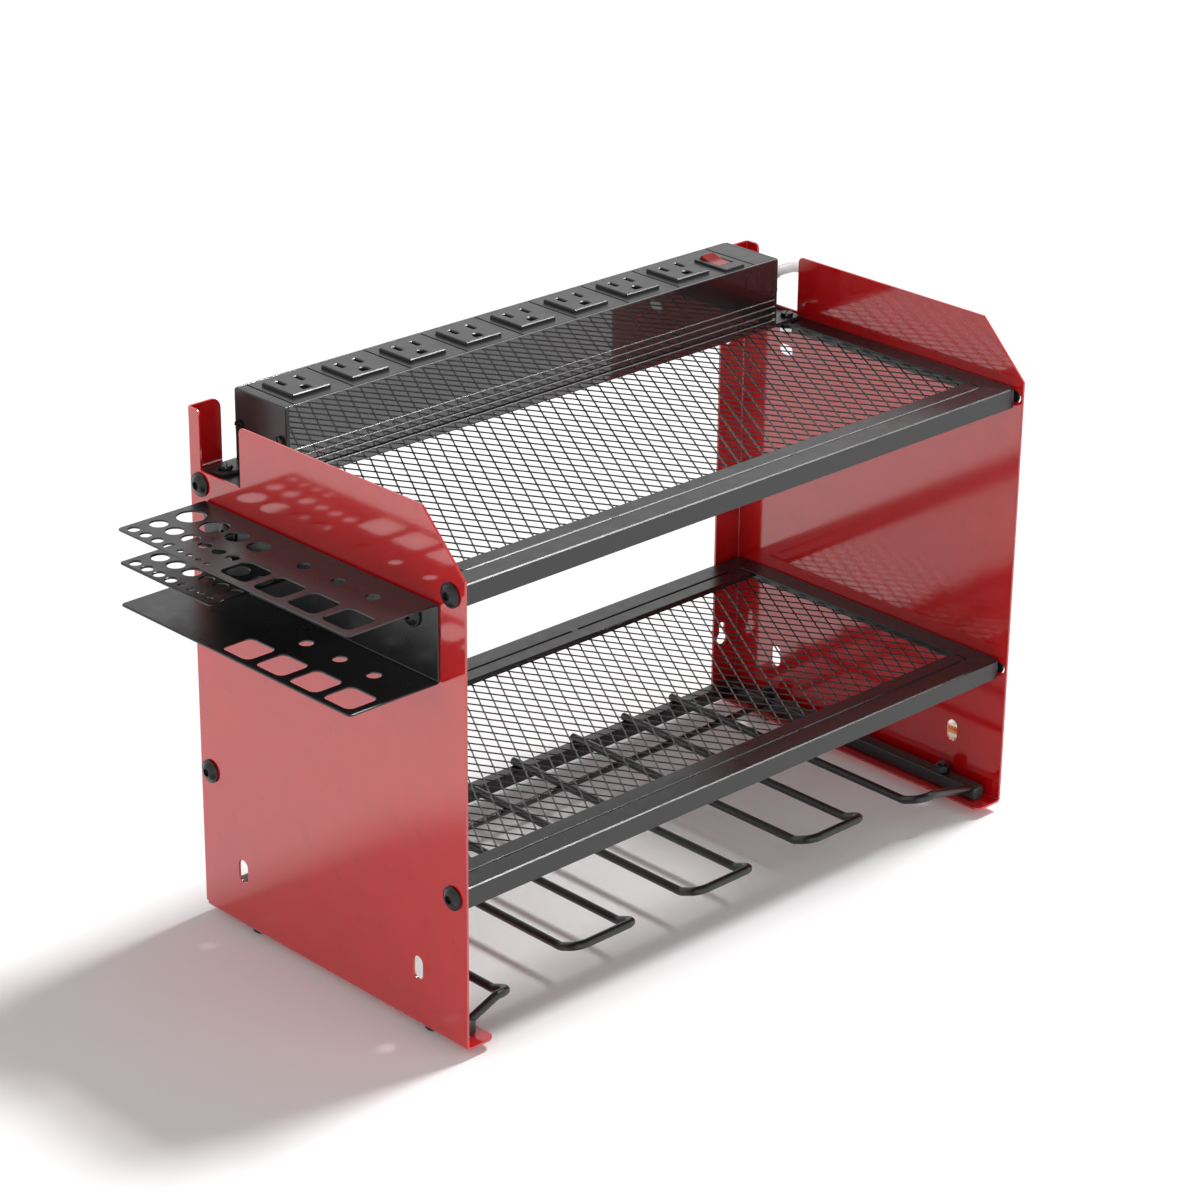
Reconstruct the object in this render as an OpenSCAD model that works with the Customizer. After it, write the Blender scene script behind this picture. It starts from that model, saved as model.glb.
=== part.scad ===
// Wall organizer for cordless power tools: two bent side panels carry two mesh
// shelves, a power strip with eight outlets, a bit holder and a rack of wire hooks.
// X runs along the wall, Y towards the wall, Z up. The bolt heads stand on z = 0.

/* [Body] */
// Width over the two side panels
body_w = 425; // [405:5:520]
// Depth from the front edge to the wall
body_d = 220; // [212:2:260]
// Height of the front edge of a side panel
front_h = 265; // [250:1:320]
// Thickness of the side panel sheet
panel_t = 1.5; // [1.2:0.1:2]

/* [Side panels] */
// Height of the guard above the front edge
guard_h = 32; // [28:1:45]
// Run of the slanted front edge of the guard
guard_run = 32; // [20:1:60]
// Length of the notch between guard and back post
notch_w = 33.5; // [26:0.5:40]
// Depth of the notch floor below the front edge height
notch_drop = 2; // [1:0.5:3]
// Width of the back post beside the notch
post_w = 10.5; // [8:0.5:14]
// Width of the back flange, with the panel sheet
back_flange_w = 22; // [20:1:32]
// Width of the bottom flange, with the panel sheet
foot_flange_w = 20; // [18:1:26]
// Outer radius of the sheet bends
bend_r = 2.5; // [2.2:0.1:3]
// Rounding of the panel outline corners
outline_r = 3.2; // [1:0.2:5]
// Rounding of the free flange corners
flange_r = 6; // [2:0.5:8]

/* [Keyholes] */
// Distance of a keyhole from the outer face of its panel
keyhole_in = 14.6; // [13:0.1:15]
// Diameter that passes the screw head
keyhole_head_d = 8.5; // [7:0.1:9]
// Width of the narrow part for the screw shank
keyhole_shank_w = 4.6; // [4:0.1:5.5]
// Rise from the wide to the end of the narrow part
keyhole_rise = 9.2; // [7:0.1:12]
// Height of the lower keyhole
keyhole_low_z = 38.5; // [30:0.5:50]
// Height between the two keyholes
keyhole_pitch = 200; // [150:1:205]

/* [Side slots] */
// Distance of the front slots from the front edge
slot_front = 38.6; // [35:0.1:45]
// Distance between the front and the back slots
slot_pitch = 145.5; // [135:0.5:150]
// Drop of the holder slots below the front edge height
holder_slot_drop = 28.5; // [26:0.5:31]
// Length of a holder slot
holder_slot_l = 11; // [8:0.5:12]
// Width of a holder slot
holder_slot_w = 6.5; // [6.3:0.1:7.5]
// Height of the low slots
low_slot_z = 34; // [28:0.5:45]
// Length of a low slot
low_slot_l = 13.5; // [10:0.5:16]
// Width of a low slot
low_slot_w = 7.5; // [6:0.5:9]
// Length of the front shelf slots in the right panel
shelf_slot_l = 12.3; // [9:0.1:13]

/* [Screws] */
// Diameter of the panel screws
screw_d = 6; // [5:0.5:6]
// Diameter of the domed head
screw_head_d = 11.5; // [9:0.5:12]
// Diameter of the collar under the head
screw_collar_d = 13.5; // [12.5:0.5:16]
// Thickness of the collar
screw_collar_t = 1.2; // [0.8:0.1:1.6]
// Height of the head with its collar
screw_head_h = 4; // [3.4:0.1:5]
// Width across the flats of the hex socket
socket_af = 4; // [3:0.5:5]
// Depth of the hex socket
socket_deep = 2.2; // [1.5:0.1:2.6]
// Play of a screw in a plain hole
screw_play = 0.6; // [0.4:0.1:1]
// Play of a screw in its thread
thread_play = 0.2; // [0.1:0.05:0.3]
// Width across the flats of the holder nuts
nut_af = 10; // [9:0.5:11]
// Height of the holder nuts
nut_h = 5; // [4:0.5:6]

/* [Shelves] */
// Drop of the upper shelf below the front edge height
upper_drop = 4; // [3:0.5:5]
// Height of the lower shelf's top
lower_top = 92; // [86:1:110]
// Height of the shelf angle
shelf_h = 11.5; // [11.5:0.5:14]
// Width of the flat leg of the shelf angle
shelf_leg = 13.5; // [13:0.5:16]
// Thickness of the shelf angle and of the mesh
shelf_t = 1.2; // [1:0.1:1.3]
// Distance of the shelf from the panel's front edge
shelf_front = 4.5; // [3:0.5:6]
// Gap between the shelf and the back flanges
shelf_back_gap = 1; // [0.5:0.5:2]
// Rounding of the shelf corners
shelf_r = 4; // [2:0.5:5]
// Distance of the front shelf screw from the panel's front edge
shelf_screw_front = 10.5; // [10.5:0.1:11]
// Distance of the back shelf screw from the wall
shelf_screw_back = 10; // [10:0.1:11]
// Thickness of the clamp strips
clamp_t = 2; // [1.5:0.1:2.2]
// Width of the band at the front and the back
clamp_band = 25; // [22:0.5:30]
// Width of the band at the sides
clamp_side = 22; // [20:0.5:28]
// Width of one mesh opening
mesh_pitch = 20.8; // [20.8:0.4:32]
// Width of a mesh strand
strand_w = 1.6; // [1.2:0.1:2.4]
// Lean of the strands that run to the right, X for each Y
lean_right = 0.53; // [0.4:0.01:0.9]
// Lean of the strands that run to the left, X for each Y
lean_left = 0.8; // [0.4:0.01:0.9]

/* [Bit holder] */
// Distance of the holder from the panel's front edge
holder_front = 19; // [15:1:24]
// Length of the holder
holder_l = 186; // [182:1:188]
// Reach of the holder from the panel
holder_reach = 59; // [57:0.5:64]
// Height of the holder
holder_h = 43.8; // [42:0.2:46]
// Drop of the holder's top below the front edge height
holder_drop = 17; // [15:0.5:18]
// Thickness of the holder sheet
holder_t = 1.2; // [1:0.1:1.5]
// Drop of the middle shelf below the holder's top
middle_drop = 19; // [18:0.5:21]
// Length of the middle shelf
middle_l = 76; // [74:0.5:80]
// Width of the flange that carries the middle shelf
middle_flange = 16; // [15:0.5:17]

/* [Holder holes] */
// Reach of the outer row of holes
outer_row = 53; // [52:0.5:54]
// Reach of the middle row of holes
middle_row = 38.8; // [38:0.2:40]
// Reach of the inner row of holes
inner_row = 20.2; // [19:0.2:21]
// Diameter of the hex bit holes
bit_d = 6.5; // [6.2:0.1:7]
// Spacing of the hex bit holes
bit_pitch = 10; // [9.5:0.1:10.2]
// Diameter of the thin drill holes
drill_d = 3.5; // [3:0.1:4.5]
// Spacing of the thin drill holes
drill_pitch = 7.6; // [6:0.1:7.8]
// Diameter of the socket holes
socket_d = 10; // [9:0.1:11]
// Spacing of the socket holes
socket_pitch = 13.4; // [13:0.1:13.6]
// Diameter of the driver holes
driver_d = 7.8; // [7:0.1:8.5]
// Spacing of the driver holes in the middle row
driver_pitch = 11.4; // [10:0.1:11.6]
// Diameter of the large holes
large_d = 16; // [14:0.1:16.4]
// Spacing of the large holes
large_pitch = 19.6; // [18:0.1:20]
// Diameter of the wrench holes
wrench_d = 12.7; // [12:0.1:13.5]
// Spacing of the wrench holes
wrench_pitch = 17.8; // [16:0.1:18.2]
// Width of a square hole along the holder
square_l = 21.5; // [19:0.1:23]
// Width of a square hole across the holder
square_w = 19.5; // [17:0.1:20.5]
// Rounding of the square holes
square_r = 4; // [2:0.1:5]
// Spacing of the square holes
square_pitch = 26.6; // [25:0.1:27]
// Reach of the square holes
square_row = 45.2; // [45:0.1:45.6]
// Reach of the round holes beside the squares
side_row = 19; // [17:0.2:21]

/* [Hook rack] */
// Width of the square rail tube
rail_w = 8.5; // [8:0.1:9]
// Wall of the rail tube
rail_wall = 1.2; // [1:0.1:1.3]
// Distance of a side rail from the outer face of its panel
rail_in = 5.5; // [5:0.1:6.5]
// Distance of the rail's open end from the panel's front edge
rail_front = 12; // [11:0.5:16]
// Length of the plastic head of a rail cap
rail_cap_l = 3.5; // [2.5:0.1:4.5]
// Diameter of the hook wire
hook_d = 5; // [4:0.1:5.4]
// Width of a hook between the centres of its legs
hook_w = 43; // [35:0.5:50]
// Spacing of the hooks
hook_pitch = 92; // [84:0.5:96]
// Distance of the hook bend from the panel's front edge
hook_bend = 32.5; // [28:0.5:38]
// Length of the raised tip along its slope
hook_tip = 15; // [13:0.5:18]
// Slope of the raised tip
hook_angle = 21.5; // [10:0.5:28]
// Corner radius of a hook
hook_r = 7; // [5:0.5:8]
// Distance of the left half hook's leg from the outer face of its panel
half_in = 39.5; // [38:0.5:44]
// Distance of the right half hook's leg from the outer face of its panel
half_right_in = 59.5; // [40:0.5:64]
// Distance of the half hooks' bend from the panel's front edge
half_bend = 24; // [23:0.5:27]
// Diameter of the cross wire
cross_d = 4; // [3:0.1:4.6]
// Distance of the cross wire from the wall
cross_back = 42; // [30:0.5:60]

/* [Rack bolts] */
// Diameter of the rack bolts
bolt_d = 5; // [4:0.5:5]
// Diameter of the collar under the bolt head
bolt_collar_d = 11.8; // [9:0.1:12.5]
// Thickness of the collar
bolt_collar_t = 1.2; // [0.8:0.1:1.6]
// Height of the bolt head with its collar
foot_h = 5.4; // [4:0.1:6.5]
// Width across the flats of bolt head and nut
bolt_af = 8; // [7:0.1:8.4]
// Height of a rack nut
rack_nut_h = 4.5; // [3.5:0.1:5]
// Distance of the front bolt from the panel's front edge
bolt_front = 37.5; // [30:0.5:50]
// Distance of the back bolt from the wall
bolt_back = 38; // [34:0.5:60]

/* [Power strip] */
// Half of the panel width that the strip leaves free
strip_room = 26.4; // [25:0.2:30]
// Width of the strip
strip_w = 43; // [42:0.2:46]
// Height of the strip
strip_h = 43; // [42:0.5:46]
// Wall of the metal channel
strip_wall = 1.6; // [1.2:0.1:1.8]
// Offset of the strip to the left
strip_shift = 1.8; // [1:0.1:2.6]
// Distance of the strip from the wall
strip_back = 9.7; // [9:0.1:11]
// Thickness of an end cap
cap_t = 2.4; // [2:0.1:3]
// Thickness of the outlet cover
cover_t = 3; // [2.5:0.1:3.2]
// Width of a raised outlet plate
plate_w = 26.4; // [25:0.2:28]
// Rise of an outlet plate
plate_rise = 2; // [1:0.1:2.5]
// Spacing of the outlets
outlet_pitch = 40.7; // [39:0.1:41]
// Distance of the first outlet from the strip's left end
outlet_first = 24.9; // [22:0.1:26]
// Gap between the ears and the panels
ear_gap = 3; // [2:0.1:4]
// Width of an ear
ear_w = 12; // [10:0.1:13]
// Thickness of an ear
ear_t = 2.2; // [1.8:0.1:2.6]
// Distance of the ears' centres from the strip's long faces
ear_in = 7; // [6.6:0.1:8]
// Height of the front ridges
ridge_h = 0.5; // [0.3:0.1:0.8]

/* [Switch] */
// Distance of the switch from the strip's right end
switch_in = 33; // [31:0.1:34]
// Width of the switch frame
bezel_w = 16.5; // [16:0.1:18]
// Length of the switch frame
bezel_l = 26.5; // [26:0.1:28]
// Rise of the switch frame
bezel_rise = 1.5; // [1:0.1:2]
// Width of the rocker
rocker_w = 10.5; // [9.6:0.1:10.6]
// Length of the rocker
rocker_l = 16.3; // [15:0.1:16.4]
// Half of the rocker's travel
rocker_tilt = 10; // [6:0.5:10]
// Diameter of the rocker's pivot
rocker_pin_d = 2.4; // [1.8:0.1:2.8]
// Play of the pivot in its hole
pivot_play = 0.12; // [0.06:0.02:0.18]

/* [Cord] */
// Diameter of the cord
cord_d = 6.5; // [6:0.1:6.6]
// Length of the tapered strain relief
relief_l = 22; // [20:0.5:22]
// Length of the plug body
plug_l = 28; // [24:1:34]
// Width of the plug body
plug_w = 25; // [22:0.5:26]
// Height of the plug body
plug_h = 22; // [21.8:0.1:24]

/* [Hidden] */

$fn = 48;
// Overrun of every cut past the face it opens
over = 1;
kink_share = 1.03;

// The object's origin below its middle, on the bolt heads
origin_x = (body_w + screw_head_h - holder_reach) / 2;
origin_y = body_d / 2;

// Side panels
top_h = front_h + guard_h;
notch_z = front_h - notch_drop;
post_y = body_d - post_w;
guard_back = post_y - notch_w;
slot_ys = [slot_front, slot_front + slot_pitch];
holder_slot_z = front_h - holder_slot_drop;
foot_flange_r = 5;

// Shelves
upper_top = front_h - upper_drop;
shelf_tops = [upper_top, lower_top];
shelf_x = panel_t;
shelf_l = body_w - 2 * panel_t;
shelf_d = body_d - panel_t - shelf_back_gap - shelf_front;
shelf_screw_ys = [shelf_screw_front, body_d - shelf_screw_back];
fit_gap = 0.3;
window_r = 2;
// Corner notches of clamp and mesh, which leave room for the rivet nuts
nut_notch_x = 7.6;
nut_notch_y = 12.5;

// Rivet nuts in the shelf ends
rivet_wall = 1;
rivet_d = screw_d + 2 * rivet_wall;
rivet_lip = 0.4;
rivet_collar_d = rivet_d + 2 * rivet_lip;
rivet_collar_l = 2.6;
rivet_l = 6.5;
rivet_play = 0.1;

// Mesh
strand_row = mesh_pitch / (lean_right + lean_left);
strand_gap = mesh_pitch / sqrt(1 + lean_left * lean_left);
opening_share = 1 - strand_w / strand_gap;

// Bit holder
holder_top = front_h - holder_drop;
holder_low = holder_top - holder_h;
middle_top = holder_top - middle_drop;
holder_back = holder_front + holder_l;
middle_gap = 0.5;
// Distances of the first holes from the holder's back end
bit_first = 6.9;
drill_first = 46;
socket_first = 9.4;
driver_first = 48.5;
large_first = 12.9;
wrench_first = 51;
// Distances of the first square and the first side hole from the holder's front end
square_first = 16.1;
side_first = 28.6;

// Hook rack
rail_top = panel_t + rail_w;
rail_gap = 0.5;
rail_back = body_d - panel_t - rail_gap;
rail_inner = rail_in + rail_w;
hook_z = rail_top + hook_d / 2;
hook_rear = rail_back;
// The hooks stand a little left of the middle
hook_shift = 2;
hook_first = body_w / 2 - hook_pitch - hook_shift;
half_land_y = 13;
half_land_drop = 1.5;
half_land_z = rail_top - half_land_drop;
land_share = 0.5;
cross_y = body_d - cross_back;
cap_plug_l = 8;
cap_play = 0.1;
cap_head_r = 1.4;

// Rack bolts
bolt_x = rail_in + rail_w / 2;
bolt_ys = [bolt_front, body_d - bolt_back];
bolt_play = 0.5;
bolt_tail = 1.5;

// Power strip
strip_l = body_w - 2 * strip_room;
strip_x = strip_room - strip_shift;
strip_y = body_d - strip_back - strip_w;
strip_z = upper_top;
body_l = strip_l - 2 * cap_t;
port_d = 7.2;
port_screw_d = 3;
port_bite = 0.4;
port_in = strip_wall + port_d / 2 - port_bite;
port_z = 23;
port_play = 0.2;
port_screw_l = 14;
port_head_d = 6;
port_head_h = 2;
driver_slot_w = 0.8;
port_ys = [port_in, strip_w - port_in];
ledge = 1.5;
ledge_z = strip_h - cover_t - ledge;
cover_play = 0.2;
ridge_first = 5;
ridge_pitch = 4.1;
ridge_w = 1;
groove_w = 1;
groove_deep = 0.6;
groove_gap = 5.2;
blade_gap = 12.7;
blade_slot_l = 7.2;
blade_slot_w = 2.2;
blade_y = 26.6;
ground_y = 14.4;
ground_d = 5.2;
plate_gap = 2;
switch_x = strip_l - switch_in;
outlet_room = switch_x - (bezel_w + plate_w) / 2 - plate_gap - outlet_first;
outlets = floor(outlet_room / outlet_pitch) + 1;
cap_r = 1.5;

// Ears and their screws
ear_r = 5;
left_ear_l = strip_x - panel_t - ear_gap;
right_ear_l = body_w - panel_t - ear_gap - strip_x - strip_l;
ear_slot_w = 4.6;
ear_slot_l = 9;
ear_screw_d = 4;
ear_screw_in = 10.5;
ear_screw_x = panel_t + ear_screw_in;
ear_head_d = 7.4;
ear_head_h = 2.2;
ear_nut_af = 7;
ear_nut_h = 3;
ear_stack = shelf_t + clamp_t + shelf_t;
ear_ys = [strip_y + ear_in, strip_y + strip_w - ear_in];
ear_xs = [ear_screw_x, body_w - ear_screw_x];

// Switch
switch_y = 16.4;
bezel_side = 1.5;
bezel_end = 0.4;
body_play = 0.2;
body_w_in = bezel_w - 2 * bezel_side;
body_l_in = bezel_l - 2 * bezel_end;
rocker_y = 19.5;
rocker_gap = 0.3;
rocker_swing = 0.8;
pivot_drop = 1;
pivot_z = strip_h - pivot_drop;
rocker_top = 2.2;
rocker_rise = 1.4;
rocker_skirt = 1.2;
rocker_deep = 5.2;
skirt_share = 0.95;
keel_share = 0.44;
cavity_deep = 9;
switch_floor = 1.5;
switch_low = pivot_z - cavity_deep - switch_floor;
lamp_d = 2.6;
lamp_l = 8;
tab_w = 4.8;
tab_t = 0.8;
tab_l = 7;
tab_pitch = 5.5;
pin_stub = 0.9;

// Contacts inside the strip
carrier_z = port_z + port_d / 2;
carrier_t = 2;
carrier_play = 0.3;
carrier_gap = 5.05;
carrier_l = switch_x - body_w_in / 2 - carrier_gap - cap_t;
bar_z = carrier_z + carrier_t;
bar_t = 0.8;
bar_w = 6;
bar_side = 1;
earth_side = 3;
bar_start = 12;
bar_tail = 3.6;
bar_end = cap_t + carrier_l + bar_tail;
leaf_t = 0.6;
leaf_l = 5;
leaf_gap = 1.9;
ground_gap = 5;
leaf_below = 1;
leaf_top = ledge_z - leaf_below;
leaf_lift = 1.5;
lip_h = 1.6;

// Leads inside the strip
lead_d = 2;
lead_inset = 1.5;
lead_x = bar_end - lead_inset;
// Straight start of a lead at the grip
lead_stub = 2;
lead_line_z = 18;
lead_switched_z = 16;
lead_neutral_z = 12;
lead_ground_z = 8;
lead_turn = 12;
lead_spread = 2;

// Strain relief
grip_y = strip_w / 2;
grip_z = 25;
grip_flange_d = 13;
grip_flange_t = 2;
grip_neck_d = 10.4;
grip_d = 11;
grip_tip_d = 8;
grip_grooves = 4;
grip_groove_w = 1.6;
grip_groove_deep = 0.5;
grip_x = strip_x + strip_l;
relief_tip = [grip_x + relief_l - origin_x, strip_y + grip_y - origin_y, strip_z + grip_z + foot_h];

// Cord route, from the strain relief over the notch and down to the coil
cord_points = [
    relief_tip,
    relief_tip + [cord_d, 0, 0],
    [247, 78.8, 291.1],
    [254, 78.8, 289.2],
    [261, 78.8, 284.8],
    [267, 78.8, 278],
    [271, 78.8, 269.5],
    [273, 80, 260],
    [273, 82, 245],
    [273, 82.8, 225],
    [273, 82.8, 205],
    [273, 82.8, 185],
    [273, 82.8, 165],
    [273, 82.8, 145],
    [273, 82.8, 125],
    [273, 82.8, 105],
    [273, 82.8, 85],
    [273, 82.8, 65],
    [273, 82.8, 45],
    [273, 82.8, 31.3],
    [273, 80.7, 21],
    [273, 74.9, 12.2],
    [273, 66.1, 6.3],
    [273, 55.8, 4.25],
    [273, 46.5, 4.25],
];
cord_sides = 12;

// Coil on the standing surface, wound inwards and out again in two layers
coil_sides = 6;
coil_rings = 24;
coil_layer_turns = 3;
coil_pitch = 7;
coil_in_r = 26.5;
coil_out_r = coil_in_r + coil_layer_turns * coil_pitch;
coil_start = cord_points[len(cord_points) - 1];
coil_centre = [coil_start[0] + coil_out_r, coil_start[1] - cord_d, coil_start[2]];
coil_tail = 40;
tail_step = 8;

// Tie round the coil, and the plug
tie_w = 12;
tie_t = 0.8;
tie_play = 0.2;
plug_neck_l = 12;
plug_neck_d = 10;
plug_neck_tip_d = 7.6;
plug_share = 0.55;
plug_z = coil_start[2] + coil_pitch;
plug_end = [coil_start[0], coil_centre[1] - coil_tail, plug_z];
prong_w = 6.3;
prong_t = 1.5;
prong_l = 17;
prong_z = 7;
prong_pin_d = 4.8;
prong_pin_up = 11.9;
prong_pin_l = 19;

// Placing and shared shapes

module place() {
    translate([-origin_x, -origin_y, foot_h]) children();
}

module right_side() {
    translate([body_w, 0, 0]) mirror([1, 0, 0]) children();
}

// Stands a flat shape drawn in Y and Z up, and gives it a thickness along X
module along_x(length) {
    rotate([90, 0, 90]) linear_extrude(length) children();
}

// Stands a flat shape drawn in X and Z up, and gives it a length along Y
module along_y(length) {
    translate([0, length, 0]) rotate([90, 0, 0]) linear_extrude(length) children();
}

module rounded(w, d, r) {
    translate([r, 0]) square([w - 2 * r, d]);
    translate([0, r]) square([w, d - 2 * r]);
    for (x = [r, w - r]) for (y = [r, d - r]) translate([x, y]) circle(r);
}

// What a round corner removes from a square one that points to plus X and plus Y
module corner_cut(r) {
    difference() {
        translate([-r, -r]) square(r + over);
        translate([-r, -r]) circle(r);
    }
}

module slot(length, width) {
    square([length - width, width], center = true);
    for (side = [-1, 1]) translate([side * (length - width) / 2, 0]) circle(d = width);
}

// A quarter of a bend, from minus X to minus Y of its centre
module bend_section() {
    intersection() {
        difference() {
            circle(bend_r);
            circle(bend_r - panel_t);
        }
        translate([-bend_r, -bend_r]) square(bend_r);
    }
}

// A round rod between two points
module rod(from, to, d) {
    run = to - from;
    length = norm(run);
    translate(from) rotate([0, acos(run[2] / length), atan2(run[1], run[0])]) cylinder(h = length, d = d);
}

// The ball that rounds a kink of a wire
module kink(at, d) {
    translate(at) sphere(d = kink_share * d);
}

// A bent wire through a list of points
module wire(points, d) {
    for (i = [1 : len(points) - 1]) rod(points[i - 1], points[i], d);
    for (i = [1 : 1 : len(points) - 2]) kink(points[i], d);
}

module hex_prism(af, h) {
    cylinder(h = h, d = af / cos(30), $fn = 6);
}

// Side panels

module panel_outline() {
    difference() {
        polygon([
            [0, bend_r], [0, front_h], [guard_run, top_h], [guard_back, top_h],
            [guard_back, notch_z], [post_y, notch_z], [post_y, top_h],
            [body_d - bend_r, top_h], [body_d - bend_r, bend_r],
        ]);
        translate([guard_back, top_h]) corner_cut(outline_r);
        translate([post_y, top_h]) mirror([1, 0]) corner_cut(outline_r);
    }
}

module panel_holes(front_slots) {
    for (top = shelf_tops) {
        z = top - shelf_h / 2;
        for (y = shelf_screw_ys) translate([y, z]) circle(d = screw_d + screw_play);
        if (front_slots) {
            slot_w = screw_d + screw_play;
            slot_y = shelf_screw_front + slot_w / 2 - shelf_slot_l / 2;
            translate([slot_y, z]) slot(shelf_slot_l, slot_w);
        }
    }
    for (y = slot_ys) {
        translate([y, holder_slot_z]) slot(holder_slot_l, holder_slot_w);
        translate([y, low_slot_z]) rotate(90) slot(low_slot_l, low_slot_w);
    }
}

module keyhole() {
    circle(d = keyhole_head_d);
    translate([-keyhole_shank_w / 2, 0]) square([keyhole_shank_w, keyhole_rise]);
    translate([0, keyhole_rise]) circle(d = keyhole_shank_w);
}

module back_flange() {
    translate([0, body_d - panel_t, 0]) along_y(panel_t) difference() {
        translate([bend_r, bend_r]) square([back_flange_w - bend_r, top_h - bend_r]);
        translate([back_flange_w, top_h]) corner_cut(flange_r);
        for (z = [keyhole_low_z, keyhole_low_z + keyhole_pitch]) {
            translate([keyhole_in, z]) keyhole();
        }
    }
}

module foot_flange() {
    linear_extrude(panel_t) difference() {
        translate([bend_r, 0]) square([foot_flange_w - bend_r, body_d - bend_r]);
        translate([foot_flange_w, 0]) mirror([0, 1]) corner_cut(foot_flange_r);
        for (y = bolt_ys) translate([bolt_x, y]) circle(d = bolt_d + bolt_play);
    }
}

module side_panel(front_slots) {
    along_x(panel_t) difference() {
        panel_outline();
        panel_holes(front_slots);
    }
    translate([bend_r, 0, bend_r]) along_y(body_d - bend_r) bend_section();
    translate([bend_r, body_d - bend_r, bend_r]) linear_extrude(top_h - bend_r) {
        mirror([0, 1]) bend_section();
    }
    back_flange();
    foot_flange();
}

module holder_side_panel() {
    color("firebrick") place() side_panel(false);
}

module cord_side_panel() {
    color("firebrick") place() right_side() side_panel(true);
}

// Shelves

module at_shelf(top) {
    place() translate([shelf_x, shelf_front, top]) children();
}

// The four places of the ear screws, in the shelf's own frame
module at_ears() {
    for (x = ear_xs) for (y = ear_ys) translate([x - shelf_x, y - shelf_front]) children();
}

module shelf_frame(top, ear_holes) {
    at_shelf(top) difference() {
        translate([0, 0, -shelf_h]) linear_extrude(shelf_h) rounded(shelf_l, shelf_d, shelf_r);
        translate([shelf_t, shelf_t, -shelf_h - over]) linear_extrude(shelf_h + over - shelf_t) {
            rounded(shelf_l - 2 * shelf_t, shelf_d - 2 * shelf_t, shelf_r - shelf_t);
        }
        translate([shelf_leg, shelf_leg, -shelf_h]) linear_extrude(shelf_h + over) {
            rounded(shelf_l - 2 * shelf_leg, shelf_d - 2 * shelf_leg, window_r);
        }
        for (y = shelf_screw_ys) {
            translate([-over, y - shelf_front, -shelf_h / 2]) rotate([0, 90, 0]) {
                cylinder(h = shelf_l + 2 * over, d = rivet_d + rivet_play);
                translate([0, 0, over + shelf_t]) {
                    cylinder(h = shelf_l - 2 * shelf_t, d = rivet_collar_d + rivet_play);
                }
            }
        }
        if (ear_holes) {
            translate([0, 0, -shelf_t - over]) linear_extrude(shelf_t + 2 * over) at_ears() {
                circle(d = ear_screw_d + bolt_play);
            }
        }
    }
}

// The outline that fits inside the angle and leaves the rivet nuts free
module inner_sheet(ear_holes) {
    inset = shelf_t + fit_gap;
    difference() {
        translate([inset, inset]) square([shelf_l - 2 * inset, shelf_d - 2 * inset]);
        for (x = [0, shelf_l]) for (y = [0, shelf_d]) translate([x, y]) {
            square([2 * nut_notch_x, 2 * nut_notch_y], center = true);
        }
        if (ear_holes) at_ears() circle(d = ear_screw_d + bolt_play);
    }
}

module clamp_frame(top, ear_holes) {
    at_shelf(top - shelf_t - clamp_t) linear_extrude(clamp_t) difference() {
        inner_sheet(ear_holes);
        translate([clamp_side, clamp_band]) {
            rounded(shelf_l - 2 * clamp_side, shelf_d - 2 * clamp_band, window_r);
        }
    }
}

// One diamond of the mesh about its centre
diamond = [
    for (c = [[-1, -1], [1, -1], [1, 1], [-1, 1]])
        opening_share / 2 * strand_row * (c[0] * [lean_right, 1] + c[1] * [-lean_left, 1])
];

// Solid edge that the openings leave round the mesh sheet
mesh_edge_x = 16;
mesh_edge_y = 15;

function in_mesh(c) =
    let (half_x = diamond[2][0] - diamond[0][0], half_y = strand_row)
    c[0] - half_x > mesh_edge_x && c[0] + half_x < shelf_l - mesh_edge_x
    && c[1] - half_y > mesh_edge_y && c[1] + half_y < shelf_d - mesh_edge_y;

module mesh_openings() {
    rows = ceil(shelf_d / strand_row);
    columns = ceil(shelf_l / mesh_pitch);
    for (row = [1 : rows]) for (column = [0 : columns + rows]) {
        centre = [column * mesh_pitch - row * lean_left * strand_row, row * strand_row];
        if (in_mesh(centre)) translate(centre) polygon(diamond);
    }
}

module shelf_mesh(top, ear_holes) {
    at_shelf(top - shelf_t - clamp_t - shelf_t) linear_extrude(shelf_t) difference() {
        inner_sheet(ear_holes);
        mesh_openings();
    }
}

module upper_shelf_frame() {
    color("dimgray") shelf_frame(upper_top, true);
}

module lower_shelf_frame() {
    color("dimgray") shelf_frame(lower_top, false);
}

module upper_clamp_frame() {
    color("gray") clamp_frame(upper_top, true);
}

module lower_clamp_frame() {
    color("gray") clamp_frame(lower_top, false);
}

module upper_shelf_mesh() {
    color("darkslategray") shelf_mesh(upper_top, true);
}

module lower_shelf_mesh() {
    color("darkslategray") shelf_mesh(lower_top, false);
}

// Panel screws

// A button screw whose collar rests on z = 0 and whose shank points down
module button_screw(shank) {
    dome_h = screw_head_h - screw_collar_t;
    dome_r = (screw_head_d * screw_head_d / 4 + dome_h * dome_h) / (2 * dome_h);
    difference() {
        union() {
            cylinder(h = screw_collar_t, d = screw_collar_d);
            intersection() {
                translate([0, 0, screw_head_h - dome_r]) sphere(dome_r);
                cylinder(h = screw_head_h, d = screw_head_d);
            }
            translate([0, 0, -shank]) cylinder(h = shank + screw_collar_t, d = screw_d);
        }
        translate([0, 0, screw_head_h - socket_deep]) hex_prism(socket_af, socket_deep + over);
    }
}

module shelf_screws() {
    for (top = shelf_tops) for (y = shelf_screw_ys) {
        translate([0, y, top - shelf_h / 2]) rotate([0, -90, 0]) button_screw(panel_t + rivet_l);
    }
}

module shelf_screws_left() {
    color("black") place() shelf_screws();
}

module shelf_screws_right() {
    color("black") place() right_side() shelf_screws();
}

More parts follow.
